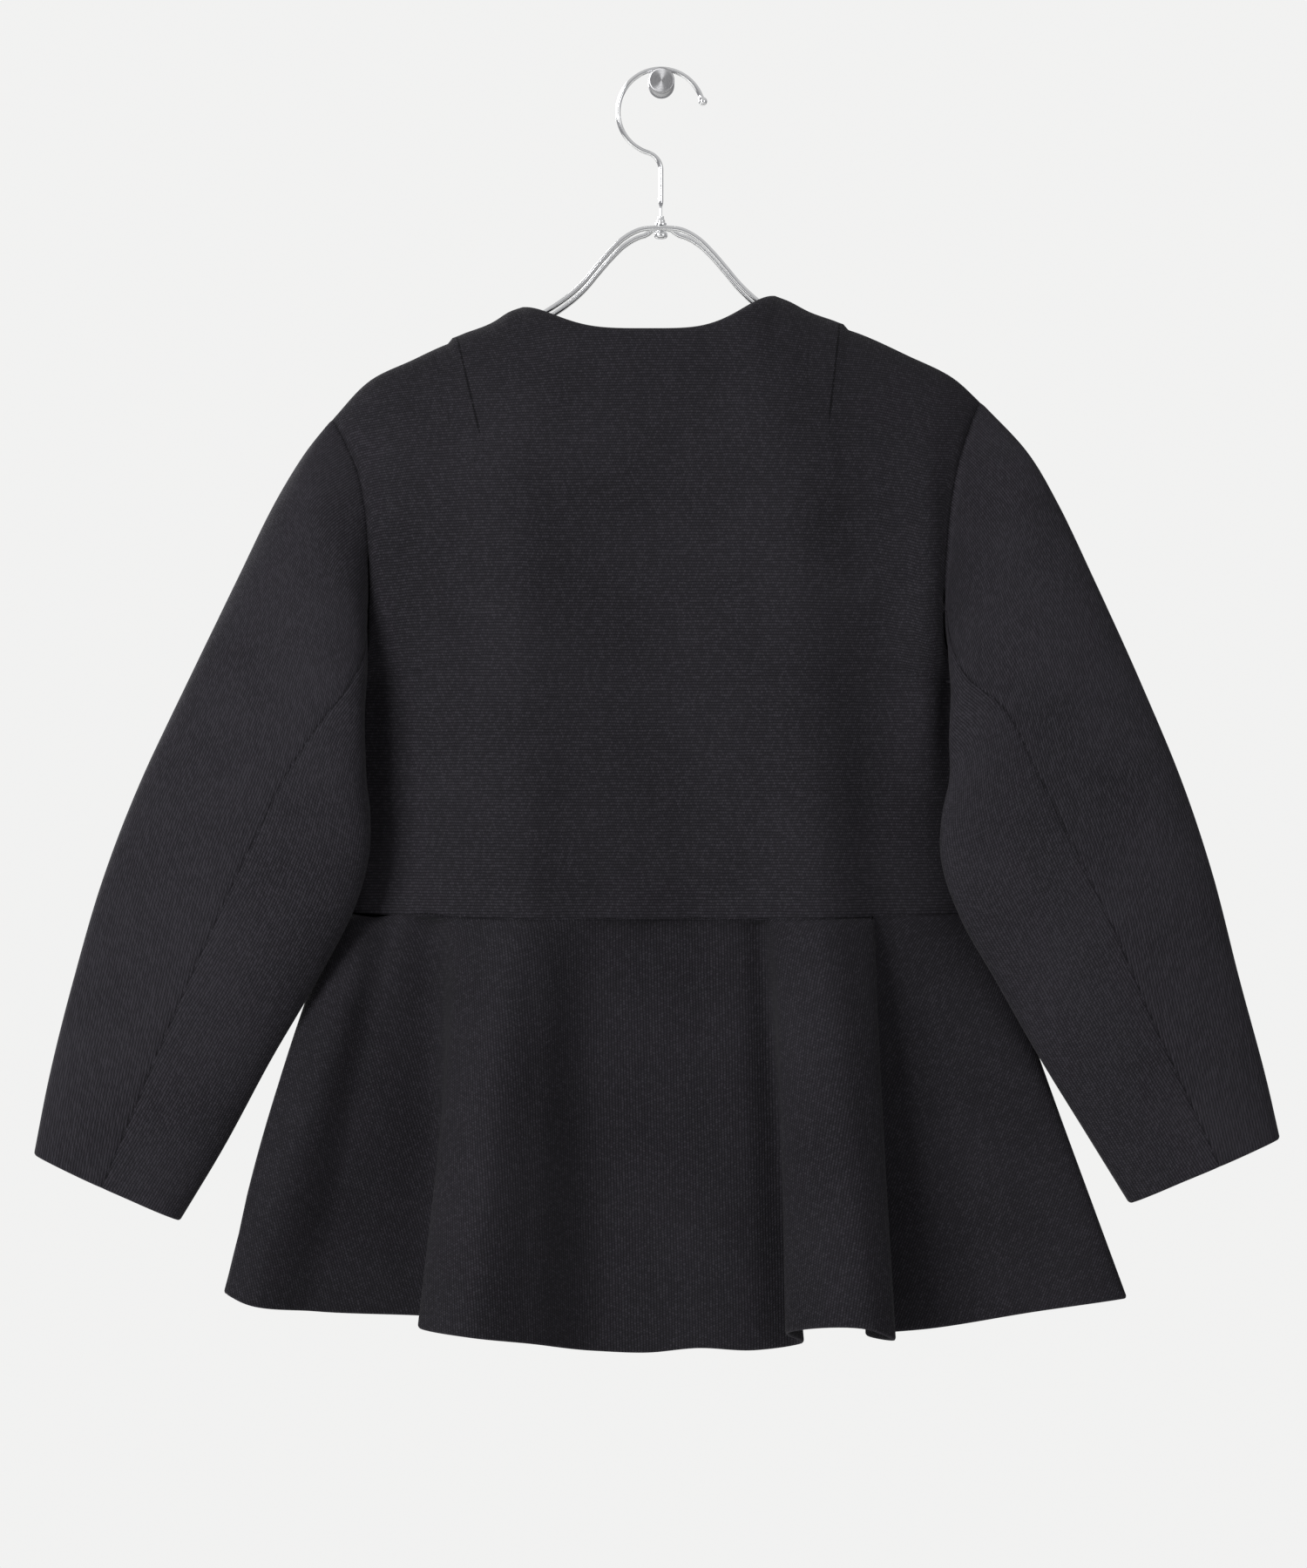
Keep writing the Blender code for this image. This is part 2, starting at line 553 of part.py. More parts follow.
def wall_normals(grids):
    # Normals averaged over the panels that meet at a point, so that walls meet evenly at the seams.
    # In the sharp valley of an armhole the sleeve and the body each keep their own side's normal.
    sums = {"sleeve": {}, "body": {}}
    for name, grid in grids.items():
        found = sums[sewn_group(name)]
        for point, normal in zip(grid.reshape(-1, 3), panel_normals(grid).reshape(-1, 3)):
            key = seam_key(point)
            found[key] = found.get(key, 0.0) + normal
    result = {}
    for name, grid in grids.items():
        own, other = sums["sleeve"], sums["body"]
        if sewn_group(name) == "body":
            own, other = other, own
        normals = np.empty_like(grid)
        for place in np.ndindex(grid.shape[:2]):
            key = seam_key(grid[place])
            normal = unit(own[key])
            if key in other and np.dot(normal, unit(other[key])) > VALLEY_LIMIT:
                normal = unit(own[key] + other[key])
            normals[place] = normal
        result[name] = normals
    return result


def level_at_waist(name, normals):
    # The bodice and the peplum both end square to the waist seam, which is their first row
    if sewn_group(name) == "sleeve":
        return normals
    level = normals.copy()
    level[0, :, 2] = 0.0
    level[0] = unit(level[0])
    return level


def drawn_in(grid, distance):
    # Moves a panel's edge rows inwards along the cloth
    moved = grid.copy()
    for edge, inside in ((0, 1), (-1, -2)):
        step = grid[inside] - grid[edge]
        moved[edge] += step * distance / np.linalg.norm(step, axis=1, keepdims=True)
    result = moved.copy()
    for edge, inside in ((0, 1), (-1, -2)):
        step = moved[:, inside] - moved[:, edge]
        result[:, edge] += step * distance / np.linalg.norm(step, axis=1, keepdims=True)
    return result


def finish_object(name, mesh, look):
    made = bpy.data.objects.new(name, mesh)
    bpy.context.scene.collection.objects.link(made)
    made.data.materials.append(material(look))
    return made


def cloth_panel(name, grid, normals):
    # A closed wall: the outer grid, the inner grid and a rim round its four edges
    outer = drawn_in(grid, SEAM_GAP / 2.0)
    inner = drawn_in(grid - normals * CLOTH_THICKNESS, SEAM_GAP / 2.0)
    rows, cols = grid.shape[:2]
    count = rows * cols
    faces = []
    for row in range(rows - 1):
        for col in range(cols - 1):
            a, b = row * cols + col, row * cols + col + 1
            c, d = a + cols, b + cols
            faces.append((a, b, d, c))
            faces.append((count + a, count + c, count + d, count + b))
    ring = [(0, col) for col in range(cols - 1)]
    ring += [(row, cols - 1) for row in range(rows - 1)]
    ring += [(rows - 1, col) for col in range(cols - 1, 0, -1)]
    ring += [(row, 0) for row in range(rows - 1, 0, -1)]
    edge = [row * cols + col for row, col in ring]
    points = np.concatenate([outer.reshape(-1, 3), inner.reshape(-1, 3)]) * MM
    order = points @ RIM_ORDER
    for this, following in zip(edge, edge[1:] + edge[:1]):
        if order[this] < order[following]:
            faces.append((this, count + this, count + following))
            faces.append((this, count + following, following))
        else:
            faces.append((this, count + this, following))
            faces.append((count + this, count + following, following))
    mesh = bpy.data.meshes.new(name)
    mesh.from_pydata(points.tolist(), [], faces)
    mesh.shade_smooth()
    mesh.set_sharp_from_angle(angle=math.radians(CLOTH_SHARP_ANGLE))
    return finish_object(name, mesh, BLACK_KNIT)


def make_jacket():
    grids = {"back_bodice": facing_out(back_bodice_grid(), BODY_MIDDLE)}
    for side in ("left", "right"):
        grids[f"front_bodice_{side}"] = facing_out(front_bodice_grid(side), BODY_MIDDLE)
        for piece in ("upper", "under"):
            grid, core = sleeve_grid(side, piece)
            grids[f"{piece}_sleeve_{side}"] = facing_out(grid, core[:-1, None])
    for name, grid in peplum_grids().items():
        grids[name] = facing_out(grid, BODY_MIDDLE)
    normals = wall_normals(grids)
    for name, grid in grids.items():
        cloth_panel(name, grid, level_at_waist(name, normals[name]))


def wire(name, points, diameter, sides, look, closed, radii=None):
    curve = bpy.data.curves.new(name, "CURVE")
    curve.dimensions = "3D"
    curve.bevel_depth = diameter / 2.0 * MM
    curve.bevel_resolution = sides // 2 - 2
    curve.use_fill_caps = not closed
    spline = curve.splines.new("POLY")
    spline.points.add(len(points) - 1)
    for number, place in enumerate(points):
        spline.points[number].co = (*(np.asarray(place) * MM), 1.0)
        spline.points[number].radius = 1.0 if radii is None else radii[number]
    spline.use_cyclic_u = closed
    spline.use_smooth = True
    return finish_object(name, curve, look)


def bar_line():
    # The bar's middle line in x and z: the arch, then along under each shoulder seam
    half = [(point.half_span, point.z) for point in BAR_ARCH]
    line = [(-x, z) for x, z in reversed(half)] + half[1:]
    ends = {}
    for side in ("left", "right"):
        seam = shoulder_line(side)[::-1]
        sign = -1.0 if side == "left" else 1.0
        stops = np.linspace(seam[0, 0] + sign * BAR_ENTRY_OUT, BAR_END_SPAN[side], BAR_ENTRY_POINTS)
        order = np.argsort(seam[:, 0])
        heights = np.interp(stops, seam[order, 0], seam[order, 2]) - BAR_DROP
        ends[side] = list(zip(stops, heights))
    line = ends["left"][::-1] + line + ends["right"]
    flat = np.array(line)
    along = chord_lengths(flat)
    count = int(along[-1] / BAR_STEP)
    return smooth(along, flat, np.linspace(0.0, along[-1], count + 1))


def make_bar():
    line = bar_line()
    share = np.clip((np.abs(line[:, 0]) - BAR_SPREAD_FROM) / (BAR_SPREAD_TO - BAR_SPREAD_FROM), 0.0, 1.0)
    half_gap = (BAR_SPREAD_MIDDLE + (BAR_SPREAD_END - BAR_SPREAD_MIDDLE) * share) / 2.0
    runs = {}
    for run, sign in (("near", -1.0), ("far", 1.0)):
        across = sign * half_gap
        runs[run] = np.column_stack([line[:, 0] + across * BAR_TWIST, HANGER_Y + across, line[:, 1]])
    points = list(runs["near"])
    points += half_loop(runs["near"][-1], runs["far"][-1], line[-1] - line[-2])
    points += list(runs["far"][::-1])
    points += half_loop(runs["far"][0], runs["near"][0], line[0] - line[1])
    wire("hanger_bar", points, BAR_WIRE, BAR_SIDES, CHROME, True)


def half_loop(start, end, heading):
    # The round end of the bar, bulging along its heading from one run to the other
    middle = (start + end) / 2.0
    radius = np.linalg.norm(end - start) / 2.0
    ahead = np.array([heading[0], 0.0, heading[1]]) / np.linalg.norm(heading)
    turns = np.linspace(0.0, math.pi, BAR_END_SEGMENTS + 1)[1:-1]
    return [middle + (start - middle) * math.cos(turn) + ahead * radius * math.sin(turn) for turn in turns]


def hook_route():
    # The hook's middle line in x and z, from its tip over the peg and down the shank
    angles = np.radians(np.arange(HOOK_TIP_ANGLE, HOOK_NECK_ANGLE, HOOK_STEP_DEGREES))
    angles = np.append(angles, math.radians(HOOK_NECK_ANGLE))
    arc = np.column_stack([np.cos(angles), np.sin(angles)]) * HOOK_RADIUS
    arc += (HOOK_CENTRE_X, HOOK_CENTRE_Z)
    slant = math.radians(HOOK_NECK_ANGLE - 270.0)
    neck_radius = (HOOK_CENTRE_X - arc[-1, 0]) / (math.sin(slant) + 1.0)
    neck = []
    for step in range(1, SHANK_NECK_STEPS + 1):
        heading = slant + (-math.pi / 2.0 - slant) * step / SHANK_NECK_STEPS
        neck.append((arc[-1, 0] + neck_radius * (math.sin(slant) - math.sin(heading)),
                     arc[-1, 1] - neck_radius * (math.cos(slant) - math.cos(heading))))
    shank = [(HOOK_CENTRE_X, (neck[-1][1] + SHANK_END_Z) / 2.0), (HOOK_CENTRE_X, SHANK_END_Z)]
    return np.concatenate([arc, neck, shank])


def make_hook():
    route = hook_route()
    ball_radius = HOOK_BALL / 2.0
    heading = (route[0] - route[1]) / np.linalg.norm(route[0] - route[1])
    ball = []
    radii = []
    for turn in np.radians(np.linspace(HOOK_BALL_TIP_TURN, HOOK_BALL_NECK_TURN, HOOK_BALL_STEPS)):
        ball.append(route[0] + heading * ball_radius * (1.0 + math.cos(turn)))
        radii.append(ball_radius * math.sin(turn) / (HOOK_WIRE / 2.0))
    flat = np.concatenate([ball, route[1:]])
    points = [(x, HANGER_Y, z) for x, z in flat]
    radii += [1.0] * (len(route) - 1)
    wire("hanger_hook", points, HOOK_WIRE, HOOK_SIDES, CHROME, False, radii)


def turned(name, profile, sides, centre, axis, look):
    # A lathe-turned solid from (radius, place along the axis) rows, closed on itself or by poles on the axis
    mesh = bpy.data.meshes.new(name)
    shape = bmesh.new()
    rings = []
    for radius, along in profile:
        ring = []
        count = sides if radius > 0.0 else 1
        for step in range(count):
            turn = 2.0 * math.pi * step / sides
            a, b = radius * math.cos(turn), radius * math.sin(turn)
            offset = (a, along, b) if axis == "y" else (a, b, along)
            ring.append(shape.verts.new((np.array(centre) + offset) * MM))
        rings.append(ring)
    pairs = list(zip(rings, rings[1:]))
    if profile[0][0] > 0.0:
        pairs.append((rings[-1], rings[0]))
    for low, high in pairs:
        for step in range(sides):
            after = (step + 1) % sides
            corners = [ring[place % len(ring)] for ring, place in
                       ((low, step), (low, after), (high, after), (high, step))]
            shape.faces.new(list(dict.fromkeys(corners)))
    bmesh.ops.recalc_face_normals(shape, faces=shape.faces)
    shape.to_mesh(mesh)
    shape.free()
    mesh.shade_smooth()
    mesh.set_sharp_from_angle(angle=math.radians(TURNED_SHARP_ANGLE))
    return finish_object(name, mesh, look)


def make_swivel():
    bore = HOOK_WIRE / 2.0 + FIT_GAP
    shank = (HOOK_CENTRE_X, HANGER_Y, 0.0)
    bar_z = BAR_ARCH[0].z
    collar_low = bar_z + BAR_WIRE / 2.0 + FIT_GAP
    nut_high = bar_z - BAR_WIRE / 2.0 - FIT_GAP
    for name, low, high, width in (("swivel_collar", collar_low, COLLAR_TOP_Z, COLLAR_WIDTH),
                                   ("swivel_nut", NUT_BOTTOM_Z, nut_high, NUT_WIDTH)):
        rim = width / 2.0
        profile = [(bore, low), (rim - NUT_CHAMFER, low), (rim, low + NUT_CHAMFER),
                   (rim, high - NUT_CHAMFER), (rim - NUT_CHAMFER, high), (bore, high)]
        turned(name, profile, TURNED_SIDES, shank, "z", CHROME)


def make_peg():
    head = -PEG_LENGTH
    profile = [
        (0.0, 0.0),
        (PEG_RADIUS, 0.0),
        (PEG_RADIUS, -PEG_BASE_LENGTH),
        (PEG_GROOVE_RADIUS, -PEG_BASE_LENGTH - (PEG_RADIUS - PEG_GROOVE_RADIUS)),
        (PEG_GROOVE_RADIUS, -PEG_GROOVE_END + (PEG_RADIUS - PEG_GROOVE_RADIUS) / 2.0),
        (PEG_RADIUS, -PEG_GROOVE_END),
        (PEG_RADIUS, head + PEG_CHAMFER),
        (PEG_RADIUS - PEG_CHAMFER, head),
        (0.0, head),
    ]
    turned("wall_peg", profile, PEG_SIDES, (0.0, 0.0, 0.0), "y", BRUSHED_STEEL)


def main():
    clear_scene()
    make_jacket()
    make_bar()
    make_hook()
    make_swivel()
    make_peg()


main()
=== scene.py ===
# Collarless peplum jacket of black double knit, its back to the viewer,
# on a chrome wire hanger and a steel wall peg.
# Tables are in millimetres: x to the viewer's right, y into the wall, z up,
# from the middle of the peg's wall face.

import math
from collections import namedtuple

import bpy
import numpy as np
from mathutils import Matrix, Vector


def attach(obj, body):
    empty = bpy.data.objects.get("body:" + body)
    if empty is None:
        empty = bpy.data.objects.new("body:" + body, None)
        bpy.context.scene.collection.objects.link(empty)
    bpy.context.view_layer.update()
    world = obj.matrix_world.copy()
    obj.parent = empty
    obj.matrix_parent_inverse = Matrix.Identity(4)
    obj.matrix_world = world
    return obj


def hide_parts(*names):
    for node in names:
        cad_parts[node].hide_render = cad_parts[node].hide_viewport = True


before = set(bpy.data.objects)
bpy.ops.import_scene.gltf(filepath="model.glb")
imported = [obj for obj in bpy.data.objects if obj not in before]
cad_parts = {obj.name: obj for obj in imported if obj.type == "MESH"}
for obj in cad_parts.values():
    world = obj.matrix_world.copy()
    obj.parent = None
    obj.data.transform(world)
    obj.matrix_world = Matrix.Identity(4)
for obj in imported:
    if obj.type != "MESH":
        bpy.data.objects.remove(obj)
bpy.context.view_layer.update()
mm = 0.001
sides = ("left", "right")
signOf = {"left": -1.0, "right": 1.0}
print("frame loaded:", len(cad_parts), "nodes")

photoView = {
    "eye": (-0.0045, -3.4, -0.3998),   # metres, level with the middle of the picture
    "focalPixels": 6816.0,
    "imageHeight": 1800.0,
    "filmSize": 36.0,
}


def placed(name, data):
    piece = bpy.data.objects.new(name, data)
    bpy.context.scene.collection.objects.link(piece)
    return piece


def makeCamera():
    data = bpy.data.cameras.new("photoCamera")
    data.sensor_width = photoView["filmSize"]
    data.lens = photoView["filmSize"] * photoView["focalPixels"] / photoView["imageHeight"]
    camera = placed("photoCamera", data)
    camera.location = photoView["eye"]
    camera.rotation_euler = (math.radians(90.0), 0.0, 0.0)
    bpy.context.scene.camera = camera


makeCamera()
print("camera placed")


def throughRows(knots, rows, at):
    # cubic through a table's rows, each slope weighted by the spans beside it
    knots, rows, at = (np.asarray(values, float) for values in (knots, rows, at))
    spans = np.diff(knots).reshape((-1,) + (1,) * (rows.ndim - 1))
    rates = np.diff(rows, axis=0) / spans
    between = (rates[:-1] * spans[1:] + rates[1:] * spans[:-1]) / (spans[:-1] + spans[1:])
    slopes = np.concatenate([rates[:1], between, rates[-1:]])
    cell = np.clip(np.searchsorted(knots, at, side="right") - 1, 0, len(knots) - 2)
    shape = at.shape + (1,) * (rows.ndim - 1)
    span = (knots[cell + 1] - knots[cell]).reshape(shape)
    t = (at - knots[cell]).reshape(shape) / span
    start = rows[cell] * (2 * t ** 3 - 3 * t ** 2 + 1) + slopes[cell] * span * (t ** 3 - 2 * t ** 2 + t)
    end = rows[cell + 1] * (3 * t ** 2 - 2 * t ** 3) + slopes[cell + 1] * span * (t ** 3 - t ** 2)
    return start + end


def chordLengths(points):
    steps = np.linalg.norm(np.diff(points, axis=0), axis=1)
    return np.concatenate([[0.0], np.cumsum(steps)])


def unit(vectors):
    return vectors / np.linalg.norm(vectors, axis=-1, keepdims=True)


# Soft creases as seen from the back: a bowed line, how wide and how deep, a ridge where depth is below zero
crease = namedtuple("crease", "x0 z0 x1 z1 bow width depth")
shoulderPoint = namedtuple("shoulderPoint", "name x z")
armholePoint = namedtuple("armholePoint", "name angle x y z")
depthRow = namedtuple("depthRow", "z backY foldShare")
bodiceFold = namedtuple("bodiceFold", "name waistX chestX width rise")
dartLine = namedtuple("dartLine", "x0 z0 x1 z1")


def creaseTable(*rows):
    return tuple(crease(*row) for row in rows)


bodice = {
    "waistZ": -472.0, "waistSag": 4.0, "waistHalfWidth": 185.0, "sideY": -30.0, "ridgeY": -15.0,
    "neckBackX": -7.0, "neckBackY": -44.0, "neckBackZ": -142.0,
    "neckBackPower": 1.9, "neckBackSquareness": 3.5,
    "neckFrontZ": -215.0, "neckFrontY": -7.0, "neckFrontPower": 1.25, "neckFrontSquareness": 4,
    "frontY": -6.0, "frontOpening": 2.0, "sectionPower": 2.1, "easedShare": 0.5,
    "backShoulderDrop": 110.0, "frontShoulderDrop": 30.0, "foldChestZ": -250.0,
    "armStep": 3.0, "sideRows": 36, "shoulderCols": 44, "neckBackCols": 64, "neckFrontCols": 32,
    "dartStep": 2.6, "dartStepFade": 26.0,   # the shoulder line drops a little just outside each dart
    "settleRows": 6, "settleWidth": 16.0,    # the underarm's corner is eased this far inside the armhole
    "shoulder": {
        "left": (
            shoulderPoint("tip", -188.0, -192.0),
            shoulderPoint("corner", -166.0, -169.2),
            shoulderPoint("slope", -142.0, -157.0),
            shoulderPoint("dart", -119.5, -145.4),
            shoulderPoint("neckRise", -96.0, -136.4),
            shoulderPoint("neckRound", -86.0, -130.2),
            shoulderPoint("neck", -79.5, -128.0),
        ),
        "right": (
            shoulderPoint("tip", 182.0, -182.0),
            shoulderPoint("corner", 168.0, -169.2),
            shoulderPoint("slope", 140.0, -154.6),
            shoulderPoint("dart", 104.5, -137.6),
            shoulderPoint("neckRise", 84.0, -130.4),
            shoulderPoint("neckRound", 72.0, -124.2),
            shoulderPoint("neck", 65.0, -121.6),
        ),
    },
    "armhole": {   # by angle from the shoulder tip over the back to the underarm and up the front
        "left": (
            armholePoint("tip", 0, -188.0, -15.0, -192.0),
            armholePoint("backHigh", 45, -172.0, -42.0, -224.0),
            armholePoint("backMid", 90, -166.0, -58.0, -266.0),
            armholePoint("backLow", 135, -166.5, -60.0, -318.0),
            armholePoint("underarm", 180, -177.0, -42.0, -350.0),
            armholePoint("frontLow", 225, -173.0, -15.0, -320.0),
            armholePoint("frontMid", 270, -168.0, -8.0, -268.0),
            armholePoint("frontHigh", 315, -175.0, -9.0, -226.0),
        ),
        "right": (
            armholePoint("tip", 0, 182.0, -15.0, -182.0),
            armholePoint("backHigh", 45, 169.0, -42.0, -216.0),
            armholePoint("backMid", 90, 162.0, -58.0, -262.0),
            armholePoint("backLow", 135, 161.0, -60.0, -318.0),
            armholePoint("underarm", 180, 177.0, -42.0, -350.0),
            armholePoint("frontLow", 225, 173.0, -15.0, -320.0),
            armholePoint("frontMid", 270, 168.0, -8.0, -268.0),
            armholePoint("frontHigh", 315, 174.0, -9.0, -222.0),
        ),
    },
    "backDepth": (   # depth at the middle of the back, from the waist up
        depthRow(-476.0, -86.0, 1.0),
        depthRow(-400.0, -82.0, 0.9),
        depthRow(-330.0, -78.0, 0.7),
        depthRow(-250.0, -74.0, 0.35),
        depthRow(-142.0, -66.0, 0.0),
        depthRow(-120.0, -66.0, 0.0),
    ),
    "folds": (
        bodiceFold("leftHollow", -150.0, -146.0, 20.0, -6.0),
        bodiceFold("leftRoll", -78.0, -86.0, 27.0, 11.5),
        bodiceFold("middleHollow", 22.0, 2.0, 42.0, -9.0),
        bodiceFold("rightRoll", 92.0, 74.0, 25.0, 9.0),
        bodiceFold("rightHollow", 132.0, 118.0, 26.0, -7.0),
    ),
    "darts": (
        dartLine(-117.0, -142.0, -102.5, -201.0),
        dartLine(101.5, -138.0, 95.0, -191.0),
    ),
    "backCreases": creaseTable(
        (-60, -500, -52, -390, 3, 11, 1.1),
        (22, -505, 14, -425, -2, 9, 0.8),
        (38, -500, 41, -360, 4, 13, -0.9),
        (-138, -500, -128, -370, -3, 10, 1.2),
        (128, -500, 116, -330, 5, 11, 1.3),
        (-102, -196, -70, -330, 6, 20, -1.5),
        (95, -186, 78, -300, -6, 17, -1.3),
        (-158, -262, -92, -318, 7, 12, 1.2),
        (157, -268, 118, -330, -5, 10, 1.4),
        (-66, -168, 52, -172, -9, 13, 0.9),
        (-164, -170, -162, -520, 0, 8, 2.6),
        (163, -190, 163, -420, 0, 8, 4),
        (149, -190, 147, -430, 0, 11, -2.6),
    ),
    "frontCreases": creaseTable(
        (-40, -500, -52, -330, 4, 14, 4.2),
        (-96, -500, -88, -300, -5, 17, -3.2),
        (-138, -490, -124, -372, 3, 11, 3),
        (-150, -270, -74, -330, 6, 13, 3.6),
        (47, -500, 58, -352, -4, 15, 3.9),
        (104, -500, 92, -286, 6, 18, -3.4),
        (146, -490, 128, -362, -3, 10, 2.9),
        (152, -262, 80, -318, -6, 14, 3.3),
    ),
}


def shoulderLine(side):
    # along the shoulder seam from the sleeve to the neck, with the small step at the dart
    table = bodice["shoulder"][side]
    flat = np.array([(point.x, point.z) for point in table])
    along = chordLengths(flat)
    at = np.linspace(0.0, along[-1], bodice["shoulderCols"] + 1)
    x, z = throughRows(along, flat, at).T
    dartAlong = next(place for place, point in zip(along, table) if point.name == "dart")
    beyond = dartAlong - at
    fade = np.exp(-beyond / bodice["dartStepFade"]) * np.clip(at / bodice["dartStepFade"], 0.0, 1.0)
    z = z - np.where(beyond > 0, bodice["dartStep"] * fade, 0.0)
    return np.column_stack([x, np.full_like(x, bodice["ridgeY"]), z])


def armhole(side, angles):
    table = bodice["armhole"][side]
    angle = np.array([point.angle for point in table], float)
    place = np.array([(point.x, point.y, point.z) for point in table])
    knots = np.concatenate([angle - 360.0, angle, angle + 360.0])
    return throughRows(knots, np.concatenate([place, place, place]), np.asarray(angles, float))


def sideEdge(side, half):
    # up the side seam, then round the back or front half of the armhole
    waist = np.array([signOf[side] * bodice["waistHalfWidth"], bodice["sideY"], bodice["waistZ"]])
    underarm = armhole(side, [180.0])[0]
    share = np.linspace(0.0, 1.0, bodice["sideRows"] + 1)[:-1, None]
    steps = np.arange(0.0, 180.0 + bodice["armStep"] / 2, bodice["armStep"])
    angles = 180.0 - steps if half == "back" else 180.0 + steps
    return np.concatenate([waist + (underarm - waist) * share, armhole(side, angles)])


def sectionProfile(across):
    return np.sqrt(np.clip(1.0 - np.abs(across) ** bodice["sectionPower"], 0.0, 1.0))


def backDepth(x, z):
    # how far the back stands out from the wall, with its soft upright folds
    rows = sorted(bodice["backDepth"])
    heights = [row.z for row in rows]
    depth = throughRows(heights, [row.backY for row in rows], np.clip(z, heights[0], heights[-1]))
    share = np.interp(z, heights, [row.foldShare for row in rows])
    height = np.clip((z - bodice["waistZ"]) / (bodice["foldChestZ"] - bodice["waistZ"]), 0.0, 1.0)
    for fold in bodice["folds"]:
        middle = fold.waistX + (fold.chestX - fold.waistX) * height
        depth = depth - share * fold.rise * np.exp(-((x - middle) / fold.width) ** 2)
    return depth


def waistPoint(x, half):
    z = bodice["waistZ"] - bodice["waistSag"] * (1.0 - (x / bodice["waistHalfWidth"]) ** 2)
    depth = backDepth(x, z) if half == "back" else np.full_like(x, bodice["frontY"])
    y = bodice["sideY"] + (depth - bodice["sideY"]) * sectionProfile(x / bodice["waistHalfWidth"])
    return np.stack([x, y, z], axis=-1)


def spread(count, start, end):
    share = np.linspace(0.0, 1.0, count + 1)
    eased = (1.0 - np.cos(math.pi * share)) / 2.0
    return start + (end - start) * (share + (eased - share) * bodice["easedShare"])


def filledPanel(bottom, top, first, last):
    # fills a four-sided panel from its edges
    v = ((first[:, 2] - first[0, 2]) / (first[-1, 2] - first[0, 2]))[:, None, None]
    low = (bottom[:, 0] - bottom[0, 0]) / (bottom[-1, 0] - bottom[0, 0])
    high = (top[:, 0] - top[0, 0]) / (top[-1, 0] - top[0, 0])
    u = ((low + high) / 2.0)[None, :, None]
    ruled = (1 - v) * bottom[None] + v * top[None] + (1 - u) * first[:, None] + u * last[:, None]
    corners = ((1 - u) * (1 - v) * bottom[0] + u * (1 - v) * bottom[-1]
               + (1 - u) * v * top[0] + u * v * top[-1])
    return ruled - corners


def belowTop(grid, drop):
    # share of the full depth reached below the shoulder, rounding over it
    fall = np.clip((grid[-1:, :, 2] - grid[:, :, 2]) / drop, 0.0, 1.0)
    return np.sqrt(1.0 - (1.0 - fall) ** 2)


def settled(edge):
    # the same edge with its corner at the underarm eased
    span = 3 * bodice["settleRows"]
    weights = np.exp(-(np.arange(-span, span + 1) / bodice["settleRows"]) ** 2 / 2.0)
    before = 2.0 * edge[0] - edge[span:0:-1]
    after = 2.0 * edge[-1] - edge[-2:-span - 2:-1]
    padded = np.concatenate([before, edge, after])
    eased = [np.convolve(column, weights / weights.sum(), "valid") for column in padded.T]
    return np.stack(eased, axis=1)


def sectionDepth(x, rounded, first, last):
    # level sections round off from the full depth to the two edges
    middle = (first[:, 0] + last[:, 0])[:, None] / 2.0
    reach = np.abs(last[:, 0] - first[:, 0])[:, None] / 2.0
    nearFirst = (x - middle) * np.sign(first[:, 0] - last[:, 0])[:, None] > 0
    edge = np.where(nearFirst, first[:, None, 1], last[:, None, 1])
    return edge + (rounded - edge) * sectionProfile((x - middle) / reach)


def easedDepth(x, rounded, first, last):
    # exact along the edges, without the underarm's corner further in
    gap = np.minimum(np.abs(x - first[:, None, 0]), np.abs(x - last[:, None, 0]))
    near = np.exp(-(gap / bodice["settleWidth"]) ** 2)
    exact = sectionDepth(x, rounded, first, last)
    return near * exact + (1.0 - near) * sectionDepth(x, rounded, settled(first), settled(last))


def backBodiceGrid():
    leftNeck, rightNeck = (bodice["shoulder"][side][-1] for side in sides)
    turn = np.sin(np.linspace(-0.5, 0.5, bodice["neckBackCols"] + 1) * math.pi)[1:-1]
    reach = np.where(turn < 0, bodice["neckBackX"] - leftNeck.x, rightNeck.x - bodice["neckBackX"])
    tipZ = np.where(turn < 0, leftNeck.z, rightNeck.z)
    neckX = bodice["neckBackX"] + turn * reach
    flatShare = 1.0 - np.abs(turn) ** bodice["neckBackSquareness"]
    neckY = bodice["ridgeY"] + (bodice["neckBackY"] - bodice["ridgeY"]) * flatShare
    climb = (1.0 - np.cos(math.pi * np.abs(turn) ** bodice["neckBackPower"])) / 2.0
    neckZ = bodice["neckBackZ"] + (tipZ - bodice["neckBackZ"]) * climb
    neck = np.column_stack([neckX, neckY, neckZ])
    top = np.concatenate([shoulderLine("left"), neck, shoulderLine("right")[::-1]])
    first, last = sideEdge("left", "back"), sideEdge("right", "back")
    half = bodice["waistHalfWidth"]
    grid = filledPanel(waistPoint(spread(len(top) - 1, -half, half), "back"), top, first, last)
    x, z = grid[:, :, 0], grid[:, :, 2]
    topY = top[None, :, 1]
    rounded = topY + (backDepth(x, z) - topY) * belowTop(grid, bodice["backShoulderDrop"])
    grid[:, :, 1] = easedDepth(x, rounded, first, last)
    return grid


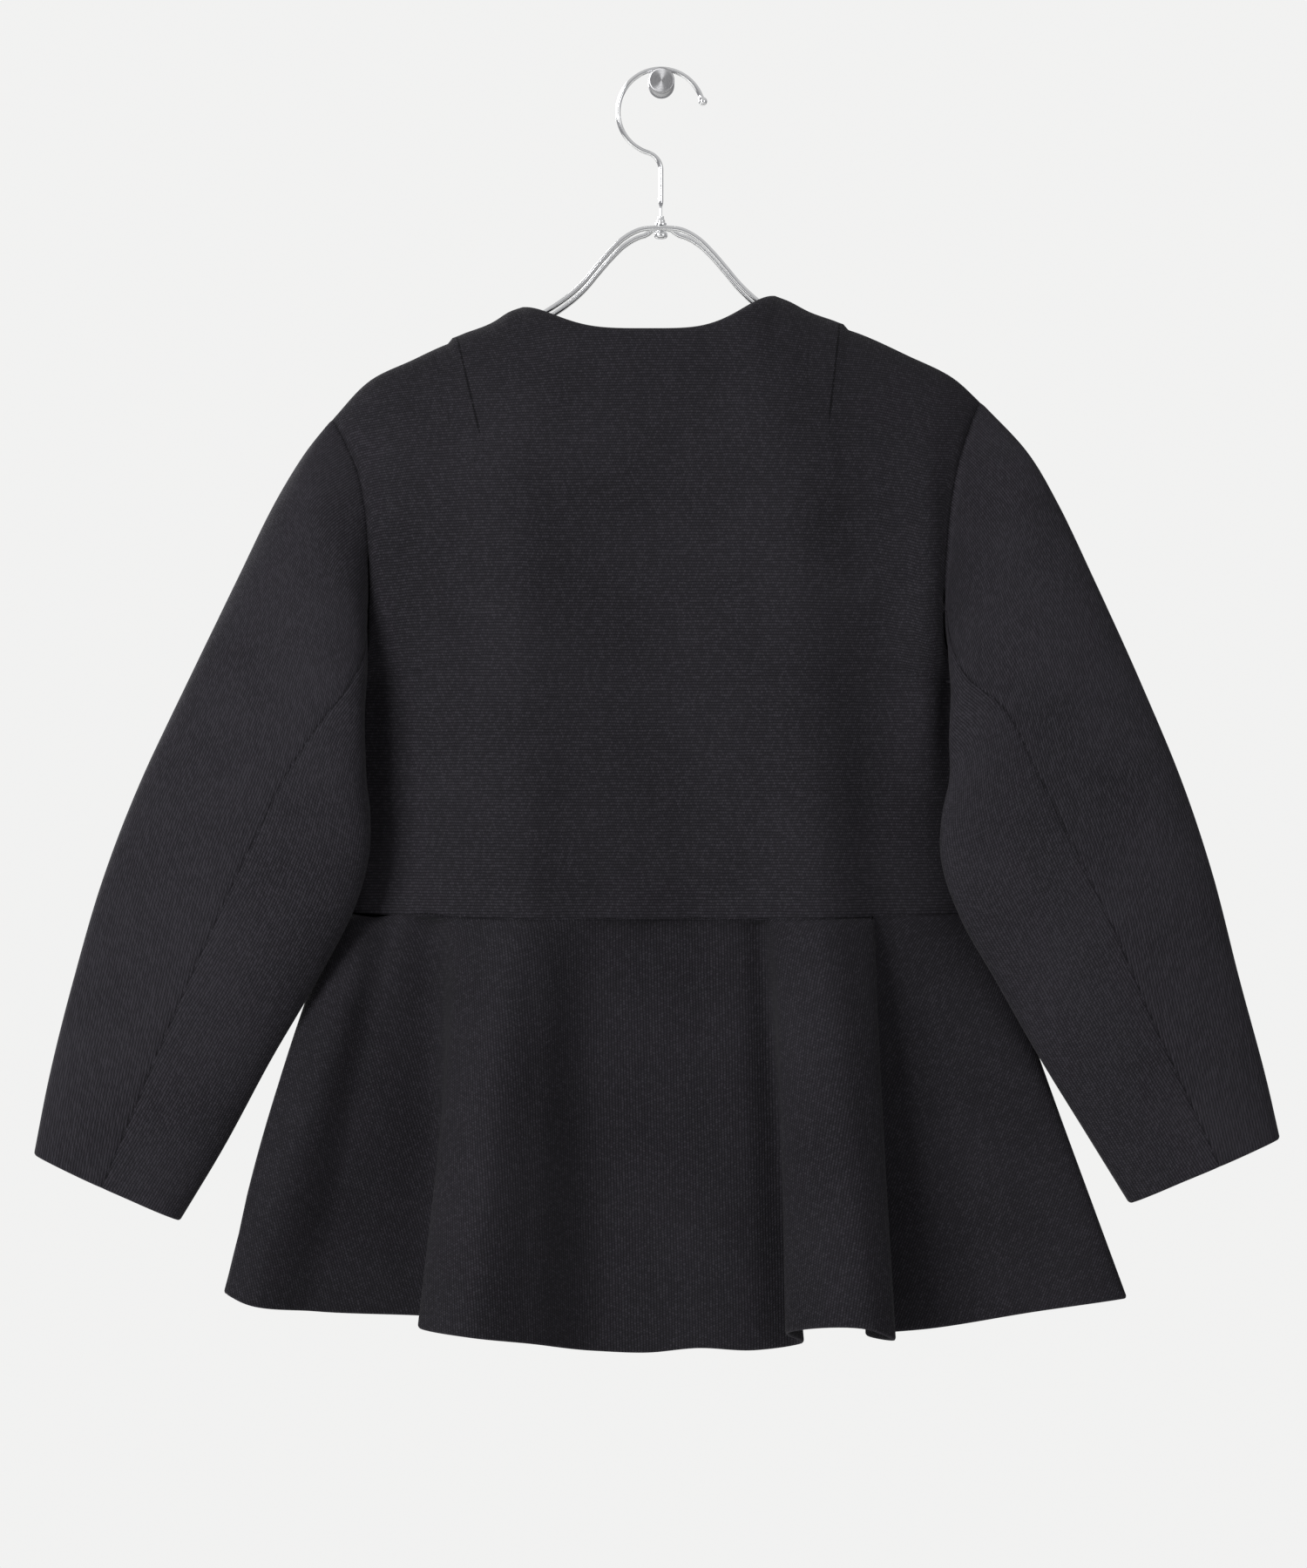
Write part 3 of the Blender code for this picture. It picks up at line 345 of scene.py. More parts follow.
def frontBodiceGrid(side):
    openingX = signOf[side] * bodice["frontOpening"] / 2.0
    tip = bodice["shoulder"][side][-1]
    share = np.linspace(0.0, 1.0, bodice["neckFrontCols"] + 1)[1:]
    neckX = tip.x + (openingX - tip.x) * share ** bodice["neckFrontPower"]
    neckZ = tip.z + (bodice["neckFrontZ"] - tip.z) * np.sin(share * math.pi / 2.0)
    steep = (1.0 - share) ** bodice["neckFrontSquareness"]
    neckY = bodice["neckFrontY"] + (bodice["ridgeY"] - bodice["neckFrontY"]) * steep
    top = np.concatenate([shoulderLine(side), np.column_stack([neckX, neckY, neckZ])])
    outer = sideEdge(side, "front")
    waistX = spread(len(top) - 1, signOf[side] * bodice["waistHalfWidth"], openingX)
    bottom = waistPoint(waistX, "front")
    up = ((outer[:, 2] - outer[0, 2]) / (outer[-1, 2] - outer[0, 2]))[:, None]
    opening = bottom[-1] + (top[-1] - bottom[-1]) * up
    grid = filledPanel(bottom, top, outer, opening)
    topY = top[None, :, 1]
    rounded = topY + (bodice["frontY"] - topY) * belowTop(grid, bodice["frontShoulderDrop"])
    otherSide = outer + 2.0 * (opening - outer) * (1.0, 0.0, 0.0)   # the section runs on past the opening
    grid[:, :, 1] = easedDepth(grid[:, :, 0], rounded, outer, otherSide)
    return grid


sleeveRow = namedtuple("sleeveRow", "name outerX outerZ outerY innerX innerZ innerY "
                                    "backDepth wallDepth backLean wallLean seam")
sleeve = {
    "rows": 150, "upperCols": 80, "underCols": 40, "armholeSeam": 120.0, "frontSeam": -110.0,
    "outerRound": {"left": 0.75, "right": 0.6}, "innerRound": {"left": 1.05, "right": 0.6},   # low is flat
    "left": (
        sleeveRow("cap", -203.5, -213, -20, -181.0, -364.0, -48, 42, 14, 32, 10, 120),
        sleeveRow("upperArm", -219.0, -240, -30, -170.0, -384.0, -64, 36, 26, 16, 22, 116),
        sleeveRow("biceps", -240.0, -284, -38, -164.5, -404.0, -74, 30, 24, 4, 14, 108),
        sleeveRow("aboveElbow", -268.0, -343, -45, -163.0, -434.0, -77, 27, 18, 0, 0, 97),
        sleeveRow("elbow", -293.0, -397, -50, -171.0, -467.0, -72, 26, 18, 0, 0, 93),
        sleeveRow("belowElbow", -314.0, -451, -52, -192.5, -509.0, -66, 24, 18, 0, 0, 92),
        sleeveRow("forearm", -331.0, -508, -50, -219.5, -555.0, -60, 21, 17, 0, 0, 91),
        sleeveRow("wrist", -346.0, -567, -47, -248.0, -607.0, -52, 18, 16, 0, 0, 89),
        sleeveRow("cuff", -354.5, -609, -44, -272.0, -646.5, -46, 17, 15, 0, 0, 88),
    ),
    "right": (
        sleeveRow("cap", 208.5, -212, -23, 181.0, -364.0, -48, 24, 14, 38, 10, 118),
        sleeveRow("upperArm", 225.0, -242, -36, 168.0, -384.0, -62, 19, 26, 23, 22, 112),
        sleeveRow("biceps", 244.0, -284, -47, 160.0, -404.0, -71, 18, 24, 4, 14, 102),
        sleeveRow("aboveElbow", 270.0, -343, -55, 156.0, -438.0, -75, 18, 18, 0, 0, 93),
        sleeveRow("elbow", 293.0, -400, -60, 167.0, -474.0, -72, 19, 18, 0, 0, 89),
        sleeveRow("belowElbow", 309.5, -450, -61, 188.0, -511.0, -66, 19, 18, 0, 0, 87),
        sleeveRow("forearm", 324.5, -508, -60, 212.0, -553.0, -60, 19, 17, 0, 0, 85),
        sleeveRow("wrist", 340.5, -566, -55, 240.0, -598.0, -52, 17, 16, 0, 0, 82),
        sleeveRow("cuff", 348.6, -599.5, -50, 264.0, -636.5, -46, 17, 15, 0, 0, 80),
    ),
    "backCreases": creaseTable(
        (-178, -226, -214, -300, 6, 13, 0.9),
        (-172, -330, -232, -352, 6, 12, 1.5),
        (-158, -436, -236, -420, -8, 11, 1.6),
        (-170, -462, -252, -470, -6, 10, 1.3),
        (-276, -372, -300, -452, 5, 15, -1.2),
        (-262, -500, -318, -520, 5, 14, 1),
        (-300, -660, -296, -580, 3, 12, 0.9),
        (-330, -640, -318, -540, -3, 13, -0.8),
        (176, -222, 216, -296, -6, 12, 1),
        (168, -318, 226, -346, -5, 12, 1.4),
        (156, -444, 238, -430, 8, 12, 1.5),
        (170, -478, 240, -490, 6, 9, 1.1),
        (272, -360, 304, -470, -6, 16, -1.3),
        (250, -520, 316, -534, -4, 14, 1.1),
        (292, -650, 286, -566, -3, 12, 0.9),
        (322, -630, 310, -536, 3, 14, -0.8),
    ),
    "wallCreases": creaseTable(
        (-182, -300, -236, -330, 6, 12, 1.3),
        (-166, -430, -244, -410, -7, 12, 1.6),
        (-182, -470, -262, -466, 5, 10, 1.2),
        (-240, -540, -312, -530, 5, 13, 1.1),
        (-304, -655, -298, -560, 3, 13, 0.9),
        (184, -306, 232, -340, -6, 13, 1.2),
        (166, -440, 246, -424, 7, 12, 1.5),
        (188, -484, 258, -478, -5, 10, 1.3),
        (236, -548, 306, -536, -5, 13, 1),
        (300, -645, 292, -556, -3, 13, 1),
    ),
}


def sleeveRing(row, angles):
    # a flattened tube section: 0 is the outer edge, 90 the back, 180 the inner edge, 270 the wall side
    turn = np.radians(angles)
    outer = np.array([row.outerX, row.outerY, row.outerZ])
    inner = np.array([row.innerX, row.innerY, row.innerZ])
    centre = (outer + inner) / 2.0
    roundShare = np.abs(np.sin(turn))
    inward = (1.0 - np.cos(turn)) / 2.0
    behind = np.sin(turn) > 0
    ring = centre + (outer - centre) * np.cos(turn)[:, None]
    lean = np.where(behind, row.backLean, -row.wallLean) * roundShare * inward
    ring[:, 0] -= np.sign(row.outerX) * lean
    side = "left" if row.outerX < 0 else "right"
    power = sleeve["outerRound"][side] * (1.0 - inward) + sleeve["innerRound"][side] * inward
    ring[:, 1] += np.where(behind, -row.backDepth, row.wallDepth) * roundShare ** power
    return ring


def sleeveGrid(side, piece):
    share = np.linspace(0.0, 1.0, sleeve[piece + "Cols"] + 1)
    whole = np.arange(0.0, 360.0, bodice["armStep"])
    seams = [(sleeve["armholeSeam"], -sleeve["armholeSeam"])]
    seams += [(row.seam, sleeve["frontSeam"]) for row in sleeve[side]]
    rings = []
    middles = []
    for number, (backSeam, frontSeam) in enumerate(seams):
        start, end = (frontSeam, backSeam) if piece == "upper" else (backSeam, frontSeam + 360.0)
        angles = start + (end - start) * share
        ringOf = armhole if number == 0 else sleeveRing
        source = side if number == 0 else sleeve[side][number - 1]
        rings.append(ringOf(source, angles))
        middles.append(ringOf(source, whole).mean(axis=0))
    along = chordLengths(np.array(middles))
    rows = np.linspace(0.0, along[-1], sleeve["rows"] + 1)
    core = throughRows(along, np.array(middles), rows)
    return throughRows(along, np.array(rings), rows), core


peplumFold = namedtuple("peplumFold", "name panel waistX hemX hemY hemZ onset")
peplum = {
    "rows": 80, "colsPerFold": 14,
    "folds": (   # round from the left front edge to the right; a low onset falls in soon below the waist
        peplumFold("leftOpening", "frontLeft", -1.0, -4.0, -9.0, -702.0, 0.62),
        peplumFold("leftFrontHollow", "frontLeft", -42.0, -58.0, -23.0, -703.0, 0.62),
        peplumFold("leftFrontRoll", "frontLeft", -84.0, -106.0, -8.0, -703.0, 0.62),
        peplumFold("leftFrontSideHollow", "frontLeft", -124.0, -152.0, -17.0, -699.0, 0.62),
        peplumFold("leftFrontSideRoll", "frontLeft", -160.0, -206.0, -14.0, -694.0, 0.62),
        peplumFold("leftFrontTurn", "frontLeft", -179.0, -238.0, -48.0, -689.0, 0.62),
        peplumFold("leftSide", "side", -185.0, -244.5, -72.0, -685.5, 0.5),
        peplumFold("leftBackTurn", "back", -172.0, -235.0, -78.0, -690.0, 0.45),
        peplumFold("leftPanel", "back", -150.0, -194.0, -60.0, -696.5, 0.45),
        peplumFold("leftValley", "back", -123.0, -124.0, -54.0, -701.0, 0.3),
        peplumFold("leftFluteEdge", "back", -108.0, -136.0, -88.0, -703.0, 0.62),
        peplumFold("leftFluteCrest", "back", -86.0, -106.0, -117.0, -706.0, 0.62),
        peplumFold("leftFluteFlank", "back", -66.0, -73.0, -99.0, -711.0, 0.6),
        peplumFold("middleValley", "back", -42.0, -36.0, -68.0, -718.0, 0.5),
        peplumFold("middleLeft", "back", -12.0, -8.0, -67.0, -719.0, 0.3),
        peplumFold("middle", "back", 16.0, 20.0, -67.0, -716.5, 0.32),
        peplumFold("middleRight", "back", 42.0, 52.0, -64.0, -718.0, 0.35),
        peplumFold("rightValley", "back", 56.0, 77.0, -59.0, -715.0, 0.3),
        peplumFold("rightFluteEdge", "back", 66.0, 69.0, -90.0, -706.0, 0.62),
        peplumFold("rightFluteCrest", "back", 97.0, 117.0, -118.0, -702.0, 0.62),
        peplumFold("rightFluteSide", "back", 113.0, 129.0, -107.0, -707.5, 0.62),
        peplumFold("rightInnerValley", "back", 122.0, 118.0, -62.0, -709.0, 0.62),
        peplumFold("rightPanelStart", "back", 140.0, 150.0, -63.0, -706.0, 0.62),
        peplumFold("rightPanel", "back", 162.0, 206.0, -63.0, -697.0, 0.62),
        peplumFold("rightSide", "side", 185.0, 261.0, -64.0, -688.5, 0.62),
        peplumFold("rightFrontSideRoll", "frontRight", 160.0, 220.0, -12.0, -694.0, 0.62),
        peplumFold("rightFrontSideHollow", "frontRight", 124.0, 156.0, -17.0, -699.0, 0.62),
        peplumFold("rightFrontRoll", "frontRight", 84.0, 108.0, -8.0, -703.0, 0.62),
        peplumFold("rightFrontHollow", "frontRight", 42.0, 60.0, -23.0, -703.0, 0.62),
        peplumFold("rightOpening", "frontRight", 1.0, 4.0, -9.0, -702.0, 0.62),
    ),
    "backCreases": creaseTable(
        (-160, -440, -176, -600, 4, 13, 1.4),
        (-194, -470, -243, -690, 0, 26, -6),
        (-36, -440, -41, -590, 3, 12, 1.2),
        (24, -450, 31, -640, -4, 14, 1.3),
        (150, -440, 172, -620, -5, 15, 1.3),
        (-206, -720, -190, -560, 3, 15, -1.3),
        (196, -720, 182, -540, -4, 16, -1.2),
    ),
    "frontCreases": creaseTable(
        (-62, -440, -74, -610, 4, 13, 3.4),
        (-140, -440, -172, -620, -5, 14, 3),
        (64, -440, 78, -600, -4, 12, 3.2),
        (142, -440, 176, -630, 5, 15, 3.1),
    ),
}


def peplumGrids():
    folds = peplum["folds"]
    step = peplum["colsPerFold"]
    hem = np.array([(fold.hemX, fold.hemY, fold.hemZ) for fold in folds])
    along = chordLengths(hem)
    at = np.interp(np.arange((len(folds) - 1) * step + 1) / step, np.arange(len(folds)), along)
    hemLine = throughRows(along, hem, at)
    seams = [place for place, fold in enumerate(folds) if fold.panel == "side"]
    stops = [0, *seams, len(folds) - 1]
    waistX = np.empty_like(at)
    for start, end in zip(stops, stops[1:]):
        columns = slice(start * step, end * step + 1)
        places = [fold.waistX for fold in folds[start:end + 1]]
        waistX[columns] = throughRows(along[start:end + 1], places, at[columns])
    first, last = (place * step for place in seams)
    waistLine = waistPoint(waistX, "front")
    waistLine[first:last + 1] = waistPoint(waistX[first:last + 1], "back")
    down = np.linspace(0.0, 1.0, peplum["rows"] + 1)[:, None]
    onset = throughRows(along, [fold.onset for fold in folds], at)
    sideways = np.broadcast_to(down, (len(down), len(at)))
    shares = np.stack([sideways, down ** onset, sideways], axis=-1)
    grid = waistLine + (hemLine - waistLine) * shares
    return grid[:, :first + 1], grid[:, first:last + 1], grid[:, last:]


knit = {
    "rowPitch": 0.00165, "loopPitch": 0.00145, "waver": 0.0008, "wriggle": 0.0007,   # metres
    "waverNoise": (42.0, 2.0, 0.5), "wriggleNoise": (330.0, 1.0, 0.5),   # scale, detail and roughness
    "fibreNoise": (2400.0, 3.0, 0.7), "cloudNoise": (16.0, 3.0, 0.5),
    # painted shade: the colour the knit's hollows are darkened to
    "hollowShadeColour": (0.0054, 0.0051, 0.0061, 1.0),
    "loopColour": (0.0292, 0.0274, 0.0330, 1.0),
    "edgeColour": (0.042, 0.039, 0.047, 1.0),
    # painted light and sheen, lighter or darker by the way each piece is cut: the sleeves lighter, the peplum
    # darker
    "paintedLightTones": {"back": 1.0, "front": 1.0, "upper": 1.38, "under": 1.38, "peplum": 0.9},
    "loopShare": 0.6,   # how much of a row's height comes from its single loops
    "heightLight": 0.85, "loopLight": 0.6, "speckLight": 0.55, "speckPower": 2.2,   # some loops catch more
    "cloudLight": 0.35, "fibreLight": 0.45, "mostLight": 1.6, "fibreRelief": 0.4,
    "roughness": 0.84, "fibreRoughness": 0.16, "sheen": 0.03, "sheenRoughness": 0.4, "specular": 0.06,
    "dartHalfWidth": 0.9, "paintedDartShade": 0.55, "seamPower": 6.0, "paintedSeamShade": 0.25,
    "bumpStrength": 0.6, "bumpDistance": 0.00045,
}
cloth = {
    "thickness": 2.2, "seamLap": 0.15, "seamSink": 0.6, "seamWidth": 4.2, "cutRound": 0.75, "cutWidth": 1.5,
    "edgeShares": (0.14, 0.36, 0.66),   # extra rows in the first cell along every edge
    "valleyLimit": 0.25, "sharpAngle": 60.0, "middle": (0.0, -40.0, -400.0),
    "weld": 0.02, "weldPhase": 0.137,   # points that share a cell of this size are one point of a seam
    "facingGain": 2.0,   # creases fade out only where a panel turns nearly edge on
    "dartSink": 0.35, "dartWidth": 4.0, "dartReach": 16.0,
}
panels = {}


def quadNormals(grid):
    return np.cross(grid[1:, 1:] - grid[:-1, :-1], grid[1:, :-1] - grid[:-1, 1:])


def edgeRing(shape):
    lastRow, lastCol = shape[0] - 1, shape[1] - 1
    ring = [(0, col) for col in range(lastCol)] + [(row, lastCol) for row in range(lastRow)]
    ring += [(lastRow, col) for col in range(lastCol, 0, -1)]
    return ring + [(row, 0) for row in range(lastRow, 0, -1)]


def addPanel(name, grid, core, edges, way, creases):
    # edges says for the first row, last row, first column and last column where it is sewn (1) or cut (0)
    centres = (grid[1:, 1:] + grid[:-1, :-1]) / 2.0
    ring = edgeRing(grid.shape)
    panels[name] = {
        "grid": grid,
        "sign": 1.0 if np.sum(quadNormals(grid) * (centres - core)) > 0 else -1.0,
        "ring": ring,
        "keys": [tuple(np.floor(grid[place] / cloth["weld"] + cloth["weldPhase"])) for place in ring],
        "group": "sleeve" if "sleeve" in name else "body",
        "edges": edges,
        "way": way,
        "creases": creases,
    }


def ownNormals(grid, sign):
    faces = quadNormals(grid) * sign
    sums = np.zeros_like(grid)
    for down in (slice(None, -1), slice(1, None)):
        for across in (slice(None, -1), slice(1, None)):
            sums[down, across] += faces
    return sums


def meetingNormals(grids):
    # sewn panels share a normal along the seam, except in the sharp valley of an armhole
    normals = {name: ownNormals(grids[name], panel["sign"]) for name, panel in panels.items()}
    sums = {"sleeve": {}, "body": {}}
    for name, panel in panels.items():
        found = sums[panel["group"]]
        for place, key in zip(panel["ring"], panel["keys"]):
            found[key] = found.get(key, 0.0) + normals[name][place]
    for name, panel in panels.items():
        own = sums[panel["group"]]
        other = sums["body" if panel["group"] == "sleeve" else "sleeve"]
        for place, key in zip(panel["ring"], panel["keys"]):
            normal = unit(own[key])
            if key in other and np.dot(normal, unit(other[key])) > cloth["valleyLimit"]:
                normal = unit(own[key] + other[key])
            normals[name][place] = normal
        normals[name] = unit(normals[name])
    return normals


def besideLine(grid, line):
    # how far each point lies along a line seen from the back and aside from it, and the line's length
    start = np.array([line.x0, line.z0])
    run = np.array([line.x1, line.z1]) - start
    length = np.linalg.norm(run)
    ahead = run / length
    offset = grid[:, :, (0, 2)] - start
    return offset @ ahead, offset @ np.array([-ahead[1], ahead[0]]), length


def creaseDepth(grid, creases):
    depth = np.zeros(grid.shape[:2])
    for line in creases:
        along, aside, length = besideLine(grid, line)
        share = np.clip(along / length, 0.0, 1.0)
        aside = aside - line.bow * 4.0 * share * (1.0 - share)   # the bow is full at the middle
        depth += line.depth * np.sin(math.pi * share) * np.exp(-(aside / line.width) ** 2)
    return depth


def creasedGrids():
    grids = {name: panel["grid"] for name, panel in panels.items()}
    normals = meetingNormals(grids)
    moved = {}
    for name, panel in panels.items():
        facing = normals[name][:, :, 1] * cloth["facingGain"]
        depth = creaseDepth(grids[name], panel["creases"]["back"]) * np.clip(-facing, 0.0, 1.0)
        depth += creaseDepth(grids[name], panel["creases"]["wall"]) * np.clip(facing, 0.0, 1.0)
        moved[name] = grids[name] - normals[name] * depth[:, :, None]
    meeting = {}
    for name, panel in panels.items():
        for place, key in zip(panel["ring"], panel["keys"]):
            meeting.setdefault(key, []).append((name, place))
    for spots in meeting.values():   # sewn edges stay together
        shared = np.mean([moved[name][place] for name, place in spots], axis=0)
        for name, place in spots:
            moved[name][place] = shared
    return moved


def runLength(grid, axis, kept):
    # length along the rows or the columns, counting only the named directions
    steps = np.linalg.norm(np.diff(grid[:, :, kept], axis=axis), axis=2)
    start = np.zeros_like(np.take(steps, [0], axis=axis))
    return np.concatenate([start, np.cumsum(steps, axis=axis)], axis=axis)


def knitPlace(grid, way):
    # where each point lies on the knitted cloth, in metres: along the knit's lines, then across them
    if way == "level":
        across = runLength(grid, 1, (0, 1))
        up = runLength(grid, 0, (1, 2)) + grid[:1, :, 2] - bodice["waistZ"]
        across = across - across[:, [across.shape[1] // 2]]
        return np.stack([across, up], axis=-1) * mm
    across = runLength(grid, 1, (0, 1, 2))
    across = across - across[:, [across.shape[1] // 2]]
    return np.stack([runLength(grid, 0, (0, 1, 2)), across], axis=-1) * mm


def withEdgeRows(field):
    shares = cloth["edgeShares"]
    first = [field[0] + (field[1] - field[0]) * share for share in (0.0, *shares)]
    last = [field[-1] + (field[-2] - field[-1]) * share for share in (*shares[::-1], 0.0)]
    return np.concatenate([first, field[1:-1], last])


def withEdges(field):
    return np.swapaxes(withEdgeRows(np.swapaxes(withEdgeRows(field), 0, 1)), 0, 1)


def edgeFades(grid, edges, sewn, width):
    # one on a sewn (or cut) edge, falling to zero at the width
    fade = np.zeros(grid.shape[:2])
    fromStart = runLength(grid, 0, (0, 1, 2))
    fromFirst = runLength(grid, 1, (0, 1, 2))
    distances = (fromStart, fromStart[-1:] - fromStart, fromFirst, fromFirst[:, -1:] - fromFirst)
    for number, (edge, distance) in enumerate(zip(edges, distances)):
        share = np.asarray(edge, float) if sewn else 1.0 - np.asarray(edge, float)
        if share.ndim:
            share = withEdgeRows(share[:, None])[:, 0]
            share = share[None, :] if number < 2 else share[:, None]
        fade = np.maximum(fade, share * np.clip(1.0 - distance / width, 0.0, 1.0))
    return fade


def drawnOut(grid, distance):
    # edges run a hair past the seam line, so no light shows through
    moved = grid.copy()
    for edge, inside in ((0, 1), (-1, -2)):
        moved[edge] += unit(grid[edge] - grid[inside]) * distance
    result = moved.copy()
    for edge, inside in ((0, 1), (-1, -2)):
        result[:, edge] += unit(moved[:, edge] - moved[:, inside]) * distance
    return result


def dartMarks(grid, name):
    # distance from the nearest shoulder dart's line, up to its reach; signed, so it is zero right on the line
    nearest = np.full(grid.shape[:2], cloth["dartReach"])
    for dart in bodice["darts"] if name == "back_bodice" else ():
        along, aside, length = besideLine(grid, dart)
        past = np.maximum(np.maximum(along - length, -along), 0.0)
        distance = np.hypot(aside, past)
        signed = np.where(aside < 0, -distance, distance)
        nearest = np.where(distance < np.abs(nearest), signed, nearest)
    return nearest


def closedShell(name, outer, inner, place, marks, sign):
    rows, cols = outer.shape[:2]
    count = rows * cols
    number = np.arange(count).reshape(rows, cols)
    a, b, c, d = number[:-1, :-1], number[:-1, 1:], number[1:, :-1], number[1:, 1:]
    front = np.stack([a, b, d, c], axis=-1).reshape(-1, 4)
    back = np.stack([a, c, d, b], axis=-1).reshape(-1, 4) + count
    edge = np.array([number[spot] for spot in edgeRing(outer.shape)])
    after = np.roll(edge, -1)
    rim = np.stack([edge, edge + count, after + count, after], axis=-1)
    faces = np.concatenate([front, back, rim])
    if sign < 0:
        faces = faces[:, ::-1]
    points = np.concatenate([outer.reshape(-1, 3), inner.reshape(-1, 3)]) * mm
    mesh = bpy.data.meshes.new(name)
    mesh.from_pydata(points.tolist(), [], faces.tolist())
    corners = np.empty(len(mesh.loops), int)
    mesh.loops.foreach_get("vertex_index", corners)
    spots = np.concatenate([place.reshape(-1, 2), place.reshape(-1, 2)])
    mesh.uv_layers.new(name="knitPlace").data.foreach_set("uv", spots[corners].astype(np.float32).ravel())
    for mark, values in marks.items():
        both = np.concatenate([values.ravel(), values.ravel()]).astype(np.float32)
        mesh.attributes.new(mark, "FLOAT", "POINT").data.foreach_set("value", both)
    mesh.shade_smooth()
    mesh.set_sharp_from_angle(angle=math.radians(cloth["sharpAngle"]))
    return placed(name, mesh)


def clothPiece(name, grid, normals):
    panel = panels[name]
    place = knitPlace(grid, panel["way"])
    field = withEdges(np.concatenate([grid, normals, place], axis=2))
    grid, normals, place = field[:, :, :3], unit(field[:, :, 3:6]), field[:, :, 6:]
    sewn = edgeFades(grid, panel["edges"], True, cloth["seamWidth"])
    cut = edgeFades(grid, panel["edges"], False, cloth["cutWidth"])
    darts = dartMarks(grid, name)
    sink = cloth["seamSink"] * sewn ** 2 + cloth["cutRound"] * cut ** 2
    sink = sink + cloth["dartSink"] * np.exp(-(darts / cloth["dartWidth"]) ** 2)
    lift = cloth["cutRound"] * cut ** 2
    outer = drawnOut(grid - normals * sink[:, :, None], cloth["seamLap"])
    inner = drawnOut(grid - normals * (cloth["thickness"] - lift)[:, :, None], cloth["seamLap"])
    # painted light and sheen: each piece's knit colour is scaled lighter or darker by the way it is cut
    tone = np.full(darts.shape, knit["paintedLightTones"][name.split("_")[0]])
    marks = {"sewnEdge": sewn, "cutEdge": cut, "dartPlace": darts, "paintedLightScale": tone}
    return closedShell(name + "_knit", outer, inner, place, marks, panel["sign"])


def sewnJacket():
    sewn, cut = 1.0, 0.0
    shoulder = [sewn] * (bodice["shoulderCols"] + 1)
    backTop = shoulder + [cut] * (bodice["neckBackCols"] - 1) + shoulder
    frontTop = shoulder + [cut] * bodice["neckFrontCols"]
    bodyCreases = {   # they run on across the waist seam
        "back": bodice["backCreases"] + peplum["backCreases"],
        "wall": bodice["frontCreases"] + peplum["frontCreases"],
    }
    sleeveCreases = {"back": sleeve["backCreases"], "wall": sleeve["wallCreases"]}
    middle = cloth["middle"]
    addPanel("back_bodice", backBodiceGrid(), middle, (sewn, backTop, sewn, sewn), "level", bodyCreases)
    for side in sides:
        edges = (sewn, frontTop, sewn, cut)
        addPanel(f"front_bodice_{side}", frontBodiceGrid(side), middle, edges, "level", bodyCreases)
        for piece in ("upper", "under"):
            grid, core = sleeveGrid(side, piece)
            edges = (sewn, cut, sewn, sewn)
            addPanel(f"{piece}_sleeve_{side}", grid, core[:-1, None], edges, "upright", sleeveCreases)
    frontLeft, back, frontRight = peplumGrids()
    addPanel("peplum_front_left", frontLeft, middle, (sewn, cut, cut, sewn), "upright", bodyCreases)
    addPanel("peplum_back", back, middle, (sewn, cut, sewn, sewn), "upright", bodyCreases)
    addPanel("peplum_front_right", frontRight, middle, (sewn, cut, sewn, cut), "upright", bodyCreases)
    grids = creasedGrids()
    normals = meetingNormals(grids)
    return {name: clothPiece(name, grids[name], normals[name]) for name in panels}


jacket = sewnJacket()
print("jacket sewn:", len(jacket), "panels")


def newMaterial(name):
    material = bpy.data.materials.new(name)
    material.use_nodes = True
    return material, material.node_tree, material.node_tree.nodes["Principled BSDF"]


def feed(tree, socket, value):
    # links an output, or sets a plain value
    if isinstance(value, bpy.types.NodeSocket):
        tree.links.new(value, socket)
    else:
        socket.default_value = value


def calc(tree, operation, *values):
    node = tree.nodes.new("ShaderNodeMath")
    node.operation = operation
    for socket, value in zip(node.inputs, values):
        feed(tree, socket, value)
    return node.outputs[0]


def noise(tree, vector, scale, detail, roughness):
    node = tree.nodes.new("ShaderNodeTexNoise")
    feed(tree, node.inputs["Vector"], vector)
    node.inputs["Scale"].default_value = scale
    node.inputs["Detail"].default_value = detail
    node.inputs["Roughness"].default_value = roughness
    return node.outputs["Fac"]


def blendColour(tree, share, first, second):
    node = tree.nodes.new("ShaderNodeMix")
    node.data_type = "RGBA"   # its colour sockets are inputs 6 and 7 and output 2
    feed(tree, node.inputs[0], share)
    feed(tree, node.inputs[6], first)
    feed(tree, node.inputs[7], second)
    return node.outputs[2]


def pointMark(tree, name):
    node = tree.nodes.new("ShaderNodeAttribute")
    node.attribute_name = name
    return node.outputs["Fac"]


def bumped(tree, shader, height, strength, distance):
    node = tree.nodes.new("ShaderNodeBump")
    node.inputs["Strength"].default_value = strength
    node.inputs["Distance"].default_value = distance
    feed(tree, node.inputs["Height"], height)
    tree.links.new(node.outputs["Normal"], shader.inputs["Normal"])


